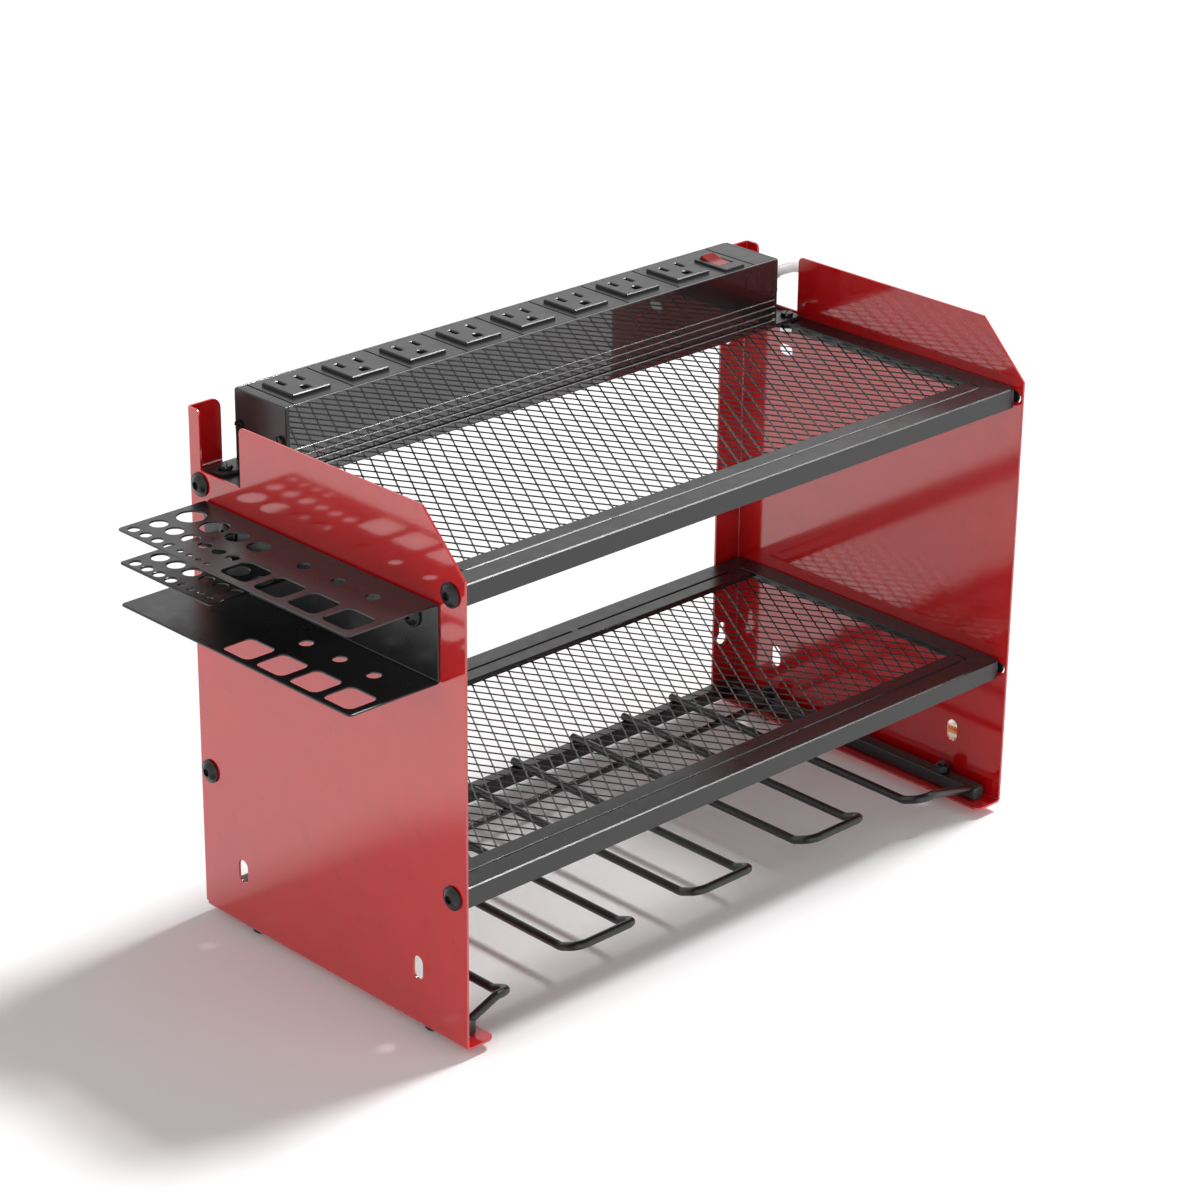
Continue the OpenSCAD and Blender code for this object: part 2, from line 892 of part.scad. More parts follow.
module rivet_nut() {
    difference() {
        union() {
            cylinder(h = rivet_l, d = rivet_d);
            translate([0, 0, shelf_t]) cylinder(h = rivet_collar_l, d = rivet_collar_d);
        }
        translate([0, 0, -over]) cylinder(h = rivet_l + 2 * over, d = screw_d + thread_play);
    }
}

module rivet_nuts() {
    for (top = shelf_tops) for (y = shelf_screw_ys) {
        translate([shelf_x, y, top - shelf_h / 2]) rotate([0, 90, 0]) rivet_nut();
    }
}

module shelf_rivet_nuts() {
    color("silver") place() {
        rivet_nuts();
        right_side() rivet_nuts();
    }
}

// Bit holder, drawn with its reach along plus X and then turned over to the left

module round_row(reach, d, first, pitch, count) {
    for (i = [0 : count - 1]) translate([reach, holder_back - first - i * pitch]) circle(d = d);
}

module bit_holes() {
    round_row(outer_row, bit_d, bit_first, bit_pitch, 4);
    round_row(outer_row, drill_d, drill_first, drill_pitch, 4);
    round_row(middle_row, socket_d, socket_first, socket_pitch, 3);
    round_row(middle_row, driver_d, driver_first, driver_pitch, 3);
    round_row(inner_row, large_d, large_first, large_pitch, 2);
    round_row(inner_row, wrench_d, wrench_first, wrench_pitch, 2);
}

module tool_holes() {
    for (i = [0 : 3]) translate([square_row, holder_front + square_first + i * square_pitch]) {
        translate([-square_w / 2, -square_l / 2]) rounded(square_w, square_l, square_r);
    }
    for (i = [0 : 2]) translate([side_row, holder_front + side_first + i * square_pitch]) {
        circle(d = driver_d);
    }
}

module holder_bolt_holes() {
    for (y = slot_ys) translate([-over, y, holder_slot_z]) rotate([0, 90, 0]) {
        cylinder(h = 2 * holder_t + 2 * over, d = screw_d + screw_play);
    }
}

module left_of_panel() {
    mirror([1, 0, 0]) children();
}

module holder_shelf(top) {
    translate([0, 0, top - holder_t]) linear_extrude(holder_t) difference() {
        translate([0, holder_front]) square([holder_reach, holder_l]);
        children();
    }
}

module bit_holder_channel() {
    color("black") place() left_of_panel() {
        holder_shelf(holder_top) {
            bit_holes();
            tool_holes();
        }
        holder_shelf(holder_low + holder_t) tool_holes();
        difference() {
            translate([0, holder_front, holder_low]) cube([holder_t, holder_l, holder_h]);
            holder_bolt_holes();
        }
    }
}

module bit_holder_middle_shelf() {
    start = holder_back - middle_l;
    reach = holder_reach - middle_gap;
    color("dimgray") place() left_of_panel() difference() {
        translate([holder_t, start, middle_top - holder_t]) union() {
            cube([reach - holder_t, middle_l, holder_t]);
            cube([holder_t, middle_l, middle_flange]);
        }
        translate([0, 0, middle_top - holder_t - over]) {
            linear_extrude(holder_t + 2 * over) bit_holes();
        }
        holder_bolt_holes();
    }
}

// Thickness under each holder screw, front and back
holder_stacks = [holder_t, 2 * holder_t];

module bit_holder_screws() {
    color("black") place() for (i = [0, 1]) {
        stack = holder_stacks[i];
        translate([-stack, slot_ys[i], holder_slot_z]) rotate([0, -90, 0]) {
            button_screw(stack + panel_t + nut_h + bolt_tail);
        }
    }
}

module bit_holder_nuts() {
    color("dimgray") place() for (y = slot_ys) {
        translate([panel_t, y, holder_slot_z]) rotate([0, 90, 0]) difference() {
            hex_prism(nut_af, nut_h);
            translate([0, 0, -over]) cylinder(h = nut_h + 2 * over, d = screw_d + thread_play);
        }
    }
}

// Hook rack

module tube_section() {
    difference() {
        square(rail_w);
        translate([rail_wall, rail_wall]) square(rail_w - 2 * rail_wall);
    }
}

module side_rail() {
    difference() {
        translate([rail_in, rail_front, panel_t]) along_y(rail_back - rail_front) tube_section();
        for (y = bolt_ys) translate([bolt_x, y, 0]) {
            cylinder(h = rail_top + over, d = bolt_d + bolt_play);
        }
    }
}

module left_rack_rail() {
    color("black") place() side_rail();
}

module right_rack_rail() {
    color("black") place() right_side() side_rail();
}

module rear_rack_rail() {
    color("black") place() translate([rail_inner, rail_back, panel_t]) {
        mirror([0, 1, 0]) along_x(body_w - 2 * rail_inner) tube_section();
    }
}

module rail_cap() {
    plug_w_in = rail_w - 2 * rail_wall - cap_play;
    translate([rail_in, rail_front - rail_cap_l, panel_t]) along_y(rail_cap_l) {
        rounded(rail_w, rail_w, cap_head_r);
    }
    translate([bolt_x - plug_w_in / 2, rail_front, panel_t + rail_w / 2 - plug_w_in / 2]) {
        cube([plug_w_in, cap_plug_l, plug_w_in]);
    }
}

module rail_end_caps() {
    color("dimgray") place() {
        rail_cap();
        right_side() rail_cap();
    }
}

// The raised end of a hook, in a frame that starts at its bend and leans back
module at_bend(x, y) {
    translate([x, y, hook_z]) rotate([-hook_angle, 0, 0]) children();
}

module corner_arc() {
    rotate_extrude(angle = 90) translate([hook_r, 0]) circle(d = hook_d);
}

// The U-shaped hook, centred on x
module hook(x) {
    half = hook_w / 2;
    side = hook_tip - hook_r;
    for (s = [-1, 1]) {
        rod([x + s * half, hook_rear, hook_z], [x + s * half, hook_bend, hook_z], hook_d);
        kink([x + s * half, hook_bend, hook_z], hook_d);
    }
    at_bend(x, hook_bend) {
        for (s = [-1, 1]) rod([s * half, 0, 0], [s * half, -side, 0], hook_d);
        translate([half - hook_r, -side, 0]) rotate(-90) corner_arc();
        translate([hook_r - half, -side, 0]) rotate(180) corner_arc();
        rod([hook_r - half, -hook_tip, 0], [half - hook_r, -hook_tip, 0], hook_d);
    }
}

module hook_wire_left() {
    color("black") place() hook(hook_first);
}

module hook_wire_middle() {
    color("black") place() hook(hook_first + hook_pitch);
}

module hook_wire_right() {
    color("black") place() hook(hook_first + 2 * hook_pitch);
}

// The half hook at the left end, whose bar comes down to the inner face of the rail
module half_hook(leg_x) {
    side = hook_tip - hook_r;
    rise = hook_tip * sin(hook_angle);
    bar = [leg_x - hook_r, half_bend - hook_tip * cos(hook_angle), hook_z + rise];
    land = [rail_inner, half_land_y, half_land_z];
    rod([leg_x, hook_rear, hook_z], [leg_x, half_bend, hook_z], hook_d);
    kink([leg_x, half_bend, hook_z], hook_d);
    at_bend(leg_x, half_bend) {
        rod([0, 0, 0], [0, -side, 0], hook_d);
        translate([-hook_r, -side, 0]) rotate(-90) corner_arc();
    }
    kink(bar, hook_d);
    difference() {
        rod(bar, land + land_share * (land - bar), hook_d);
        translate([-body_w, 0, -body_d]) cube([body_w + rail_inner, body_d, 2 * body_d]);
    }
}

module half_hook_left() {
    color("black") place() half_hook(half_in);
}

module half_hook_right() {
    color("black") place() right_side() half_hook(half_right_in);
}

module rack_cross_wire() {
    z = rail_top - cross_d / 2;
    color("black") place() rod([rail_inner, cross_y, z], [body_w - rail_inner, cross_y, z], cross_d);
}

module rack_bolt() {
    shank = rail_top + rack_nut_h + bolt_tail;
    cylinder(h = shank, d = bolt_d);
    translate([0, 0, -bolt_collar_t]) cylinder(h = bolt_collar_t, d = bolt_collar_d);
    translate([0, 0, -foot_h]) hex_prism(bolt_af, foot_h - bolt_collar_t);
}

module at_rack_bolts() {
    for (x = [bolt_x, body_w - bolt_x]) for (y = bolt_ys) translate([x, y, 0]) children();
}

module rack_bolts() {
    color("black") place() at_rack_bolts() rack_bolt();
}

module rack_nuts() {
    color("dimgray") place() at_rack_bolts() translate([0, 0, rail_top]) difference() {
        hex_prism(bolt_af, rack_nut_h);
        translate([0, 0, -over]) cylinder(h = rack_nut_h + 2 * over, d = bolt_d + thread_play);
    }
}

// Power strip, drawn from its own left front corner on the shelf

module at_strip(x = 0) {
    place() translate([strip_x + x, strip_y, strip_z]) children();
}

module housing_section() {
    difference() {
        union() {
            difference() {
                square([strip_w, strip_h]);
                translate([strip_wall, strip_wall]) square([strip_w - 2 * strip_wall, strip_h]);
            }
            for (y = port_ys) translate([y, port_z]) circle(d = port_d);
            for (y = [strip_wall, strip_w - strip_wall - ledge]) translate([y, ledge_z]) square(ledge);
            for (i = [0 : 3]) translate([-ridge_h, ridge_first + i * ridge_pitch]) {
                square([strip_wall, ridge_w]);
            }
        }
        for (y = port_ys) translate([y, port_z]) circle(d = port_screw_d + port_play);
    }
}

module strip_housing() {
    color("black") at_strip(cap_t) along_x(body_l) housing_section();
}

module at_outlets() {
    for (i = [0 : outlets - 1]) translate([outlet_first + i * outlet_pitch, 0]) children();
}

module outlet_slots() {
    at_outlets() {
        for (s = [-1, 1]) translate([s * blade_gap / 2, blade_y]) {
            square([blade_slot_w, blade_slot_l], center = true);
        }
        translate([0, ground_y]) {
            circle(d = ground_d);
            translate([-ground_d / 2, -ground_d / 2]) square([ground_d, ground_d / 2]);
        }
    }
}

module switch_opening(play) {
    w = body_w_in + 2 * play;
    l = body_l_in + 2 * play;
    translate([switch_x - w / 2, switch_y - l / 2]) square([w, l]);
}

module outlet_cover() {
    edge = strip_wall + cover_play;
    groove_first = outlet_first - plate_w / 2 - groove_gap;
    grooves = [for (i = [0 : outlets - 1]) groove_first + i * outlet_pitch];
    color("dimgray") at_strip() translate([0, 0, strip_h - cover_t]) difference() {
        union() {
            linear_extrude(cover_t) translate([cap_t, edge]) square([body_l, strip_w - 2 * edge]);
            linear_extrude(cover_t + plate_rise) at_outlets() {
                translate([-plate_w / 2, strip_w / 2 - plate_w / 2 - cover_play]) square(plate_w);
            }
        }
        translate([0, 0, -over]) linear_extrude(cover_t + plate_rise + 2 * over) {
            outlet_slots();
            switch_opening(body_play);
        }
        for (x = concat(grooves, [switch_x + bezel_w / 2 + groove_gap])) {
            translate([x, 0, cover_t - groove_deep]) cube([groove_w, strip_w, groove_deep + over]);
        }
    }
}

module contact_carrier() {
    edge = strip_wall + carrier_play;
    color("ivory") at_strip(cap_t) translate([0, edge, carrier_z]) {
        cube([carrier_l, strip_w - 2 * edge, carrier_t]);
        for (y = [0, strip_w - 2 * edge - lip_h]) translate([0, y, 0]) {
            cube([carrier_l, lip_h, carrier_t + lip_h]);
        }
    }
}

// A bus bar with a pair of spring leaves at each outlet; the leaves stand on the bar's own side
module bus_bar(bar_y, leaf_x, leaf_y, gap) {
    at_strip() translate([0, 0, bar_z]) {
        translate([bar_start, bar_y, 0]) cube([bar_end - bar_start, bar_w, bar_t]);
        foot_low = max(leaf_y, bar_y);
        foot_high = min(leaf_y + leaf_l, bar_y + bar_w);
        at_outlets() for (s = [-1, 1]) {
            translate([leaf_x + s * (gap + leaf_t) / 2 - leaf_t / 2, 0, 0]) {
                translate([0, foot_low, 0]) cube([leaf_t, foot_high - foot_low, bar_t + leaf_lift]);
                translate([0, leaf_y, bar_t + leaf_lift]) {
                    cube([leaf_t, leaf_l, leaf_top - bar_z - bar_t - leaf_lift]);
                }
            }
        }
    }
}

line_y = blade_y + bar_side;
neutral_y = blade_y - bar_side - bar_w;
earth_y = ground_y - earth_side - bar_w / 2;
blade_leaf_y = blade_y - leaf_l / 2;

module line_bus_bar() {
    color("gold") bus_bar(line_y, blade_gap / 2, blade_leaf_y, leaf_gap);
}

module neutral_bus_bar() {
    color("gold") bus_bar(neutral_y, -blade_gap / 2, blade_leaf_y, leaf_gap);
}

module ground_bus_bar() {
    color("gold") bus_bar(earth_y, 0, ground_y - leaf_l / 2, ground_gap);
}

// End caps

// Two ears that point to plus X from the outer face of a cap
module ears(length, screw_at) {
    for (y = [ear_in, strip_w - ear_in]) translate([0, y, 0]) linear_extrude(ear_t) difference() {
        translate([-cap_t, -ear_w / 2]) square([length + cap_t, ear_w]);
        translate([length, ear_w / 2]) corner_cut(ear_r);
        translate([length, -ear_w / 2]) mirror([0, 1]) corner_cut(ear_r);
        translate([screw_at, 0]) slot(ear_slot_l, ear_slot_w);
    }
}

module cap_plate() {
    difference() {
        rounded(strip_w, strip_h, cap_r);
        for (y = port_ys) translate([y, port_z]) circle(d = port_screw_d + port_play);
        children();
    }
}

module strip_left_end_cap() {
    color("black") at_strip() {
        along_x(cap_t) cap_plate();
        mirror([1, 0, 0]) ears(left_ear_l, strip_x - ear_screw_x);
    }
}

module strip_right_end_cap() {
    color("black") at_strip(strip_l) {
        translate([-cap_t, 0, 0]) along_x(cap_t) cap_plate() {
            translate([grip_y, grip_z]) circle(d = grip_neck_d + cap_play);
        }
        ears(right_ear_l, body_w - ear_screw_x - strip_x - strip_l);
    }
}

module port_screw() {
    difference() {
        union() {
            cylinder(h = port_head_h, d = port_head_d);
            translate([0, 0, -port_screw_l]) cylinder(h = port_screw_l + port_head_h / 2, d = port_screw_d);
        }
        translate([-port_head_d, -driver_slot_w / 2, port_head_h / 2]) {
            cube([2 * port_head_d, driver_slot_w, port_head_h]);
        }
    }
}

module strip_end_screws() {
    color("black") for (y = port_ys) {
        at_strip() translate([0, y, port_z]) rotate([0, -90, 0]) port_screw();
        at_strip(strip_l) translate([0, y, port_z]) rotate([0, 90, 0]) port_screw();
    }
}

module at_ear_screws(z) {
    place() for (x = ear_xs) for (y = ear_ys) translate([x, y, z]) children();
}

module strip_mount_screws() {
    shank = ear_t + ear_stack + ear_nut_h + bolt_tail;
    color("black") at_ear_screws(upper_top + ear_t) {
        cylinder(h = ear_head_h, d = ear_head_d);
        translate([0, 0, -shank]) cylinder(h = shank, d = ear_screw_d);
    }
}

module strip_mount_nuts() {
    color("silver") at_ear_screws(upper_top - ear_stack - ear_nut_h) rotate(30) difference() {
        hex_prism(ear_nut_af, ear_nut_h);
        translate([0, 0, -over]) cylinder(h = ear_nut_h + 2 * over, d = ear_screw_d + thread_play);
    }
}

// Switch

module at_switch() {
    at_strip(switch_x) children();
}

cavity_w = rocker_w + 2 * rocker_gap;
cavity_l = rocker_l + 2 * rocker_swing;

module switch_body() {
    color("black") at_switch() difference() {
        union() {
            translate([-bezel_w / 2, switch_y - bezel_l / 2, strip_h]) linear_extrude(bezel_rise) {
                rounded(bezel_w, bezel_l, cap_r);
            }
            translate([-body_w_in / 2, switch_y - body_l_in / 2, switch_low]) {
                cube([body_w_in, body_l_in, strip_h + bezel_rise / 2 - switch_low]);
            }
        }
        translate([-cavity_w / 2, rocker_y - cavity_l / 2, pivot_z - cavity_deep]) {
            cube([cavity_w, cavity_l, strip_h]);
        }
        translate([-body_w_in / 2, rocker_y, pivot_z]) rotate([0, 90, 0]) {
            cylinder(h = body_w_in, d = rocker_pin_d + pivot_play);
        }
    }
}

module rocker_section() {
    half = rocker_l / 2;
    polygon([
        [-half, rocker_top + rocker_rise], [0, rocker_top], [half, rocker_top + rocker_rise],
        [half * skirt_share, -rocker_skirt], [half * keel_share, -rocker_deep],
        [-half * keel_share, -rocker_deep], [-half * skirt_share, -rocker_skirt],
    ]);
}

// The rocker at rest, its back half raised
module switch_rocker() {
    pin_l = rocker_w + 2 * (rocker_gap + pin_stub);
    color("red") at_switch() translate([0, rocker_y, pivot_z]) rotate([rocker_tilt, 0, 0]) {
        translate([-rocker_w / 2, 0, 0]) along_x(rocker_w) rocker_section();
        translate([-pin_l / 2, 0, 0]) rotate([0, 90, 0]) cylinder(h = pin_l, d = rocker_pin_d);
    }
}

module switch_lamp() {
    color("orange") at_switch() translate([-lamp_l / 2, rocker_y, pivot_z - cavity_deep + lamp_d / 2]) {
        rotate([0, 90, 0]) cylinder(h = lamp_l, d = lamp_d);
    }
}

module switch_terminals() {
    color("gold") at_switch() for (i = [-1 : 1]) {
        translate([-tab_t / 2, rocker_y + i * tab_pitch - tab_w / 2, switch_low - tab_l]) {
            cube([tab_t, tab_w, tab_l]);
        }
    }
}

// Leads

grip_face = strip_l - cap_t - grip_flange_t;
tab_low = switch_low - tab_l;

module lead(points) {
    at_strip() wire(points, lead_d);
}

module line_lead() {
    y = rocker_y + tab_pitch;
    color("black") lead([
        [grip_face, grip_y + lead_spread, grip_z + lead_spread],
        [grip_face - lead_stub, grip_y + lead_spread, grip_z + lead_spread],
        [grip_face - lead_turn, grip_y + lead_spread, lead_line_z],
        [switch_x, y, lead_line_z],
        [switch_x, y, tab_low],
    ]);
}

module switched_lead() {
    y = rocker_y - tab_pitch;
    bar_y = line_y + bar_w / 2;
    color("dimgray") lead([
        [switch_x, y, tab_low],
        [switch_x, y, lead_switched_z],
        [lead_x, bar_y, lead_switched_z],
        [lead_x, bar_y, bar_z],
    ]);
}

module neutral_lead() {
    bar_y = neutral_y + bar_w / 2;
    color("white") lead([
        [grip_face, grip_y - lead_spread, grip_z + lead_spread],
        [grip_face - lead_stub, grip_y - lead_spread, grip_z + lead_spread],
        [grip_face - lead_turn, grip_y - lead_spread, lead_neutral_z],
        [lead_x, bar_y, lead_neutral_z],
        [lead_x, bar_y, bar_z],
    ]);
}

module ground_lead() {
    bar_y = earth_y + bar_w / 2;
    color("green") lead([
        [grip_face, grip_y, grip_z - lead_spread],
        [grip_face - lead_stub, grip_y, grip_z - lead_spread],
        [grip_face - lead_turn, grip_y, lead_ground_z],
        [lead_x, bar_y, lead_ground_z],
        [lead_x, bar_y, bar_z],
    ]);
}

// Strain relief

module cord_grip() {
    groove_pitch = relief_l / (grip_grooves + 2);
    color("whitesmoke") at_strip(strip_l) translate([0, grip_y, grip_z]) rotate([0, 90, 0]) {
        translate([0, 0, -cap_t - grip_flange_t]) cylinder(h = grip_flange_t, d = grip_flange_d);
        translate([0, 0, -cap_t]) cylinder(h = cap_t, d = grip_neck_d);
        difference() {
            cylinder(h = relief_l, d1 = grip_d, d2 = grip_tip_d);
            for (i = [1 : grip_grooves]) translate([0, 0, i * groove_pitch]) difference() {
                cylinder(h = grip_groove_w, d = grip_d + over);
                translate([0, 0, -over]) {
                    cylinder(h = grip_groove_w + 2 * over, d = grip_tip_d - grip_groove_deep);
                }
            }
        }
    }
}

// Swept tubes

function unit(v) = v / norm(v);

function heading(p, i) = unit(p[min(i + 1, len(p) - 1)] - p[max(i - 1, 0)]);

function squared(n, t) = unit(n - (n * t) * t);

// The side direction at each point, carried along the route without twist
function carried(p, n) = [
    for (i = 0, v = squared(n, heading(p, 0)); i < len(p);
        i = i + 1, v = i < len(p) ? squared(v, heading(p, i)) : v) v
];

module swept(p, d, sides, start) {
    n = carried(p, start);
    points = [
        for (i = [0 : len(p) - 1]) let (t = heading(p, i), b = cross(t, n[i]))
            for (k = [0 : sides - 1])
                p[i] + d / 2 * (cos(360 * k / sides) * n[i] + sin(360 * k / sides) * b)
    ];
    last = (len(p) - 1) * sides;
    walls = [
        for (i = [0 : len(p) - 2]) for (k = [0 : sides - 1])
            let (a = i * sides + k, b = i * sides + (k + 1) % sides)
                each [[a, a + sides, b], [b, a + sides, b + sides]]
    ];
    ends = [
        for (k = [1 : sides - 2]) each [[0, k, k + 1], [last, last + k + 1, last + k]]
    ];
    polyhedron(points, concat(walls, ends));
}

module power_cord() {
    color("white") swept(cord_points, cord_d, cord_sides, [0, 1, 0]);
}

// The coil's middle line at a turn, from the outside in and out again
function coil_point(turn) =
    let (
        r = coil_in_r + coil_pitch * abs(turn - coil_layer_turns),
        climb = min(max(2 * (turn - coil_layer_turns) + 0.5, 0), 1),
        lift = climb * climb * (3 - 2 * climb)
    )
    coil_centre + [
        r * cos(180 + 360 * turn),
        r * sin(180 + 360 * turn),
        coil_pitch * lift,
    ];

coil_loops = [
    for (i = [0 : 2 * coil_layer_turns * coil_rings]) coil_point(i / coil_rings)
];
coil_run = [
    for (y = [tail_step : tail_step : coil_tail]) [coil_start[0], coil_centre[1] - y, plug_z]
];
coil_line = concat([coil_start], coil_loops, coil_run);

// Least gap between turns that lie at least half a turn apart
coil_gap = min([
    for (i = [0 : len(coil_loops) - 1]) for (j = [i + coil_rings / 2 : 1 : len(coil_loops) - 1])
        norm(coil_loops[i] - coil_loops[j])
]) - cord_d;
echo(coil_gap = coil_gap);

steps = [for (p = [cord_points, coil_line]) for (i = [1 : len(p) - 1]) norm(p[i] - p[i - 1])];
echo(cord_length = steps * [for (step = steps) 1]);

module cord_coil() {
    color("white") swept(coil_line, cord_d, coil_sides, [0, 0, 1]);
}

module cord_tie() {
    inner = coil_in_r - cord_d / 2 - tie_play;
    outer = coil_out_r + cord_d / 2 + tie_play;
    low = coil_start[2] - cord_d / 2 - tie_play;
    high = plug_z + cord_d / 2 + tie_play;
    color("dimgray") translate([coil_centre[0], coil_centre[1] - tie_w / 2, 0]) along_y(tie_w) {
        difference() {
            translate([inner - tie_t, low - tie_t]) {
                square([outer - inner + 2 * tie_t, high - low + 2 * tie_t]);
            }
            translate([inner, low]) square([outer - inner, high - low]);
        }
    }
}

// Plug, with its cord end at plug_end and its blades towards minus Y

module plug_body() {
    back_w = plug_w * plug_share;
    back_h = plug_h * plug_share;
    front = plug_neck_l + plug_l;
    flare = plug_neck_l + plug_l * plug_share;
    color("whitesmoke") translate([plug_end[0], plug_end[1], 0]) mirror([0, 1, 0]) {
        translate([0, 0, plug_end[2]]) rotate([-90, 0, 0]) {
            cylinder(h = plug_neck_l, d1 = plug_neck_tip_d, d2 = plug_neck_d);
        }
        intersection() {
            linear_extrude(plug_h) polygon([
                [-back_w / 2, plug_neck_l], [back_w / 2, plug_neck_l], [plug_w / 2, flare],
                [plug_w / 2, front], [-plug_w / 2, front], [-plug_w / 2, flare],
            ]);
            translate([-plug_w / 2, 0, 0]) along_x(plug_w) polygon([
                [plug_neck_l, (plug_h - back_h) / 2], [flare, 0], [front, 0],
                [front, plug_h], [flare, plug_h], [plug_neck_l, (plug_h + back_h) / 2],
            ]);
        }
    }
}

module plug_blades() {
    front = plug_neck_l + plug_l;
    color("goldenrod") translate([plug_end[0], plug_end[1], 0]) mirror([0, 1, 0]) {
        for (s = [-1, 1]) translate([s * blade_gap / 2 - prong_t / 2, front, prong_z - prong_w / 2]) {
            cube([prong_t, prong_l, prong_w]);
        }
        translate([0, front, prong_z + prong_pin_up]) rotate([-90, 0, 0]) {
            cylinder(h = prong_pin_l, d = prong_pin_d);
        }
    }
}

holder_side_panel();
cord_side_panel();
upper_shelf_frame();
lower_shelf_frame();
upper_clamp_frame();
lower_clamp_frame();
upper_shelf_mesh();
lower_shelf_mesh();
shelf_screws_left();
shelf_screws_right();
shelf_rivet_nuts();
bit_holder_channel();
bit_holder_middle_shelf();
bit_holder_screws();
bit_holder_nuts();
left_rack_rail();
right_rack_rail();
rear_rack_rail();
rail_end_caps();
hook_wire_left();
hook_wire_middle();
hook_wire_right();
half_hook_left();
half_hook_right();
rack_cross_wire();
rack_bolts();
rack_nuts();
strip_housing();
outlet_cover();
contact_carrier();
line_bus_bar();
neutral_bus_bar();
ground_bus_bar();
strip_left_end_cap();
strip_right_end_cap();
strip_end_screws();
strip_mount_screws();
strip_mount_nuts();
switch_body();
switch_rocker();
switch_lamp();
switch_terminals();
line_lead();
switched_lead();
neutral_lead();
ground_lead();
cord_grip();
power_cord();
cord_coil();
cord_tie();
plug_body();
plug_blades();
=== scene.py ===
"""Dresses the wall organizer for cordless tools: panels, mesh shelves, hooks, power strip and cord."""

import logging
import math
from dataclasses import dataclass, field
from enum import Enum, IntEnum
from typing import Callable, Iterable, Sequence

import bmesh
import bpy
import numpy as np
from mathutils import Euler, Matrix, Vector
from mathutils.geometry import delaunay_2d_cdt


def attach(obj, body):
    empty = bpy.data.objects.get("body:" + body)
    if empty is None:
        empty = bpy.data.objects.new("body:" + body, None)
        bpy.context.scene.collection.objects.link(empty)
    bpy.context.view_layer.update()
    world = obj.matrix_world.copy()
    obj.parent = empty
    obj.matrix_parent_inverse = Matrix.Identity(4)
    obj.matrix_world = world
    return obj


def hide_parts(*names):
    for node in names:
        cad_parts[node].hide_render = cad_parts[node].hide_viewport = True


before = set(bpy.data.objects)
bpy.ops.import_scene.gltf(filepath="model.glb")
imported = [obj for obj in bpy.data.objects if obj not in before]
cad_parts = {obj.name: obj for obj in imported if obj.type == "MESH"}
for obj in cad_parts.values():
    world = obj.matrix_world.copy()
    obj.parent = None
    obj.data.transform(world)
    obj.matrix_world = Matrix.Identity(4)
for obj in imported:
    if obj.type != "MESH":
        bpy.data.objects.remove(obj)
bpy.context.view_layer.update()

logging.basicConfig(level=logging.INFO, format="%(message)s")
log = logging.getLogger("organizer")

MM = 0.001
# The organizer is drawn in millimetres from its left front lower corner
DATUM = Vector((185.0, 110.0, -5.4))

Point = tuple[float, float]
Place = Callable[[float, float, float], Vector]

# Sizes that several sub-assemblies share
BODY_W = 425.0
BODY_D = 220.0
FRONT_H = 265.0
TOP_H = 297.0
PANEL_T = 1.5
SHEET_T = 1.2
SCREW_HOLE = 6.6
SLOT_YS = (38.6, 184.1)
SLOT_Z = 236.5
SHELF_TOPS = (261.0, 92.0)
SHELF_SCREW_YS = (10.5, BODY_D - 10.0)
SHELF_H = 11.5
RAIL_TOP = 10.0
RACK_BOLT_X = 9.75
RACK_BOLT_YS = (37.5, 182.0)
STRIP = Vector((24.6, 167.3, SHELF_TOPS[0]))
STRIP_L = 372.2
STRIP_W = 43.0
EAR_T = 2.2
EAR_YS = (7.0, STRIP_W - 7.0)
SWITCH_X = 339.2
SWITCH_Y = 16.4
CORD_Z = 25.0

# Turns of a fastener, by the way its head looks
HEAD_UP = Euler((0, 0, 0))
HEAD_DOWN = Euler((math.pi, 0, 0))
HEAD_LEFT = Euler((0, -math.pi / 2, 0))
HEAD_RIGHT = Euler((0, math.pi / 2, 0))


class Rank(IntEnum):
    """How a face shades: rounded strips take the normals of the main faces beside them."""

    ROUND = 0
    MAIN = 1


class Side(Enum):
    """Which end of the organizer a piece belongs to."""

    LEFT = "left"
    RIGHT = "right"


def to_part(point: Vector) -> Vector:
    """Turns a point in the organizer's millimetres into metres of the part's frame."""
    return (Vector(point) - DATUM) * MM


# Outlines


def arc(centre: Point, radius: float, start: float, end: float, steps: int) -> list[Point]:
    """Points along an arc.

    Args:
        centre: Centre of the arc.
        radius: Its radius.
        start: First angle in degrees.
        end: Last angle in degrees.
        steps: Number of steps between the ends.

    Returns:
        The points, both ends included.
    """
    angles = [math.radians(start + (end - start) * i / steps) for i in range(steps + 1)]
    return [(centre[0] + radius * math.cos(a), centre[1] + radius * math.sin(a)) for a in angles]


def circle(x: float, y: float, d: float, sides: int = 40) -> list[Point]:
    """A closed circle of points of a diameter about a centre."""
    return arc((x, y), d / 2, 0, 360 - 360 / sides, sides - 1)


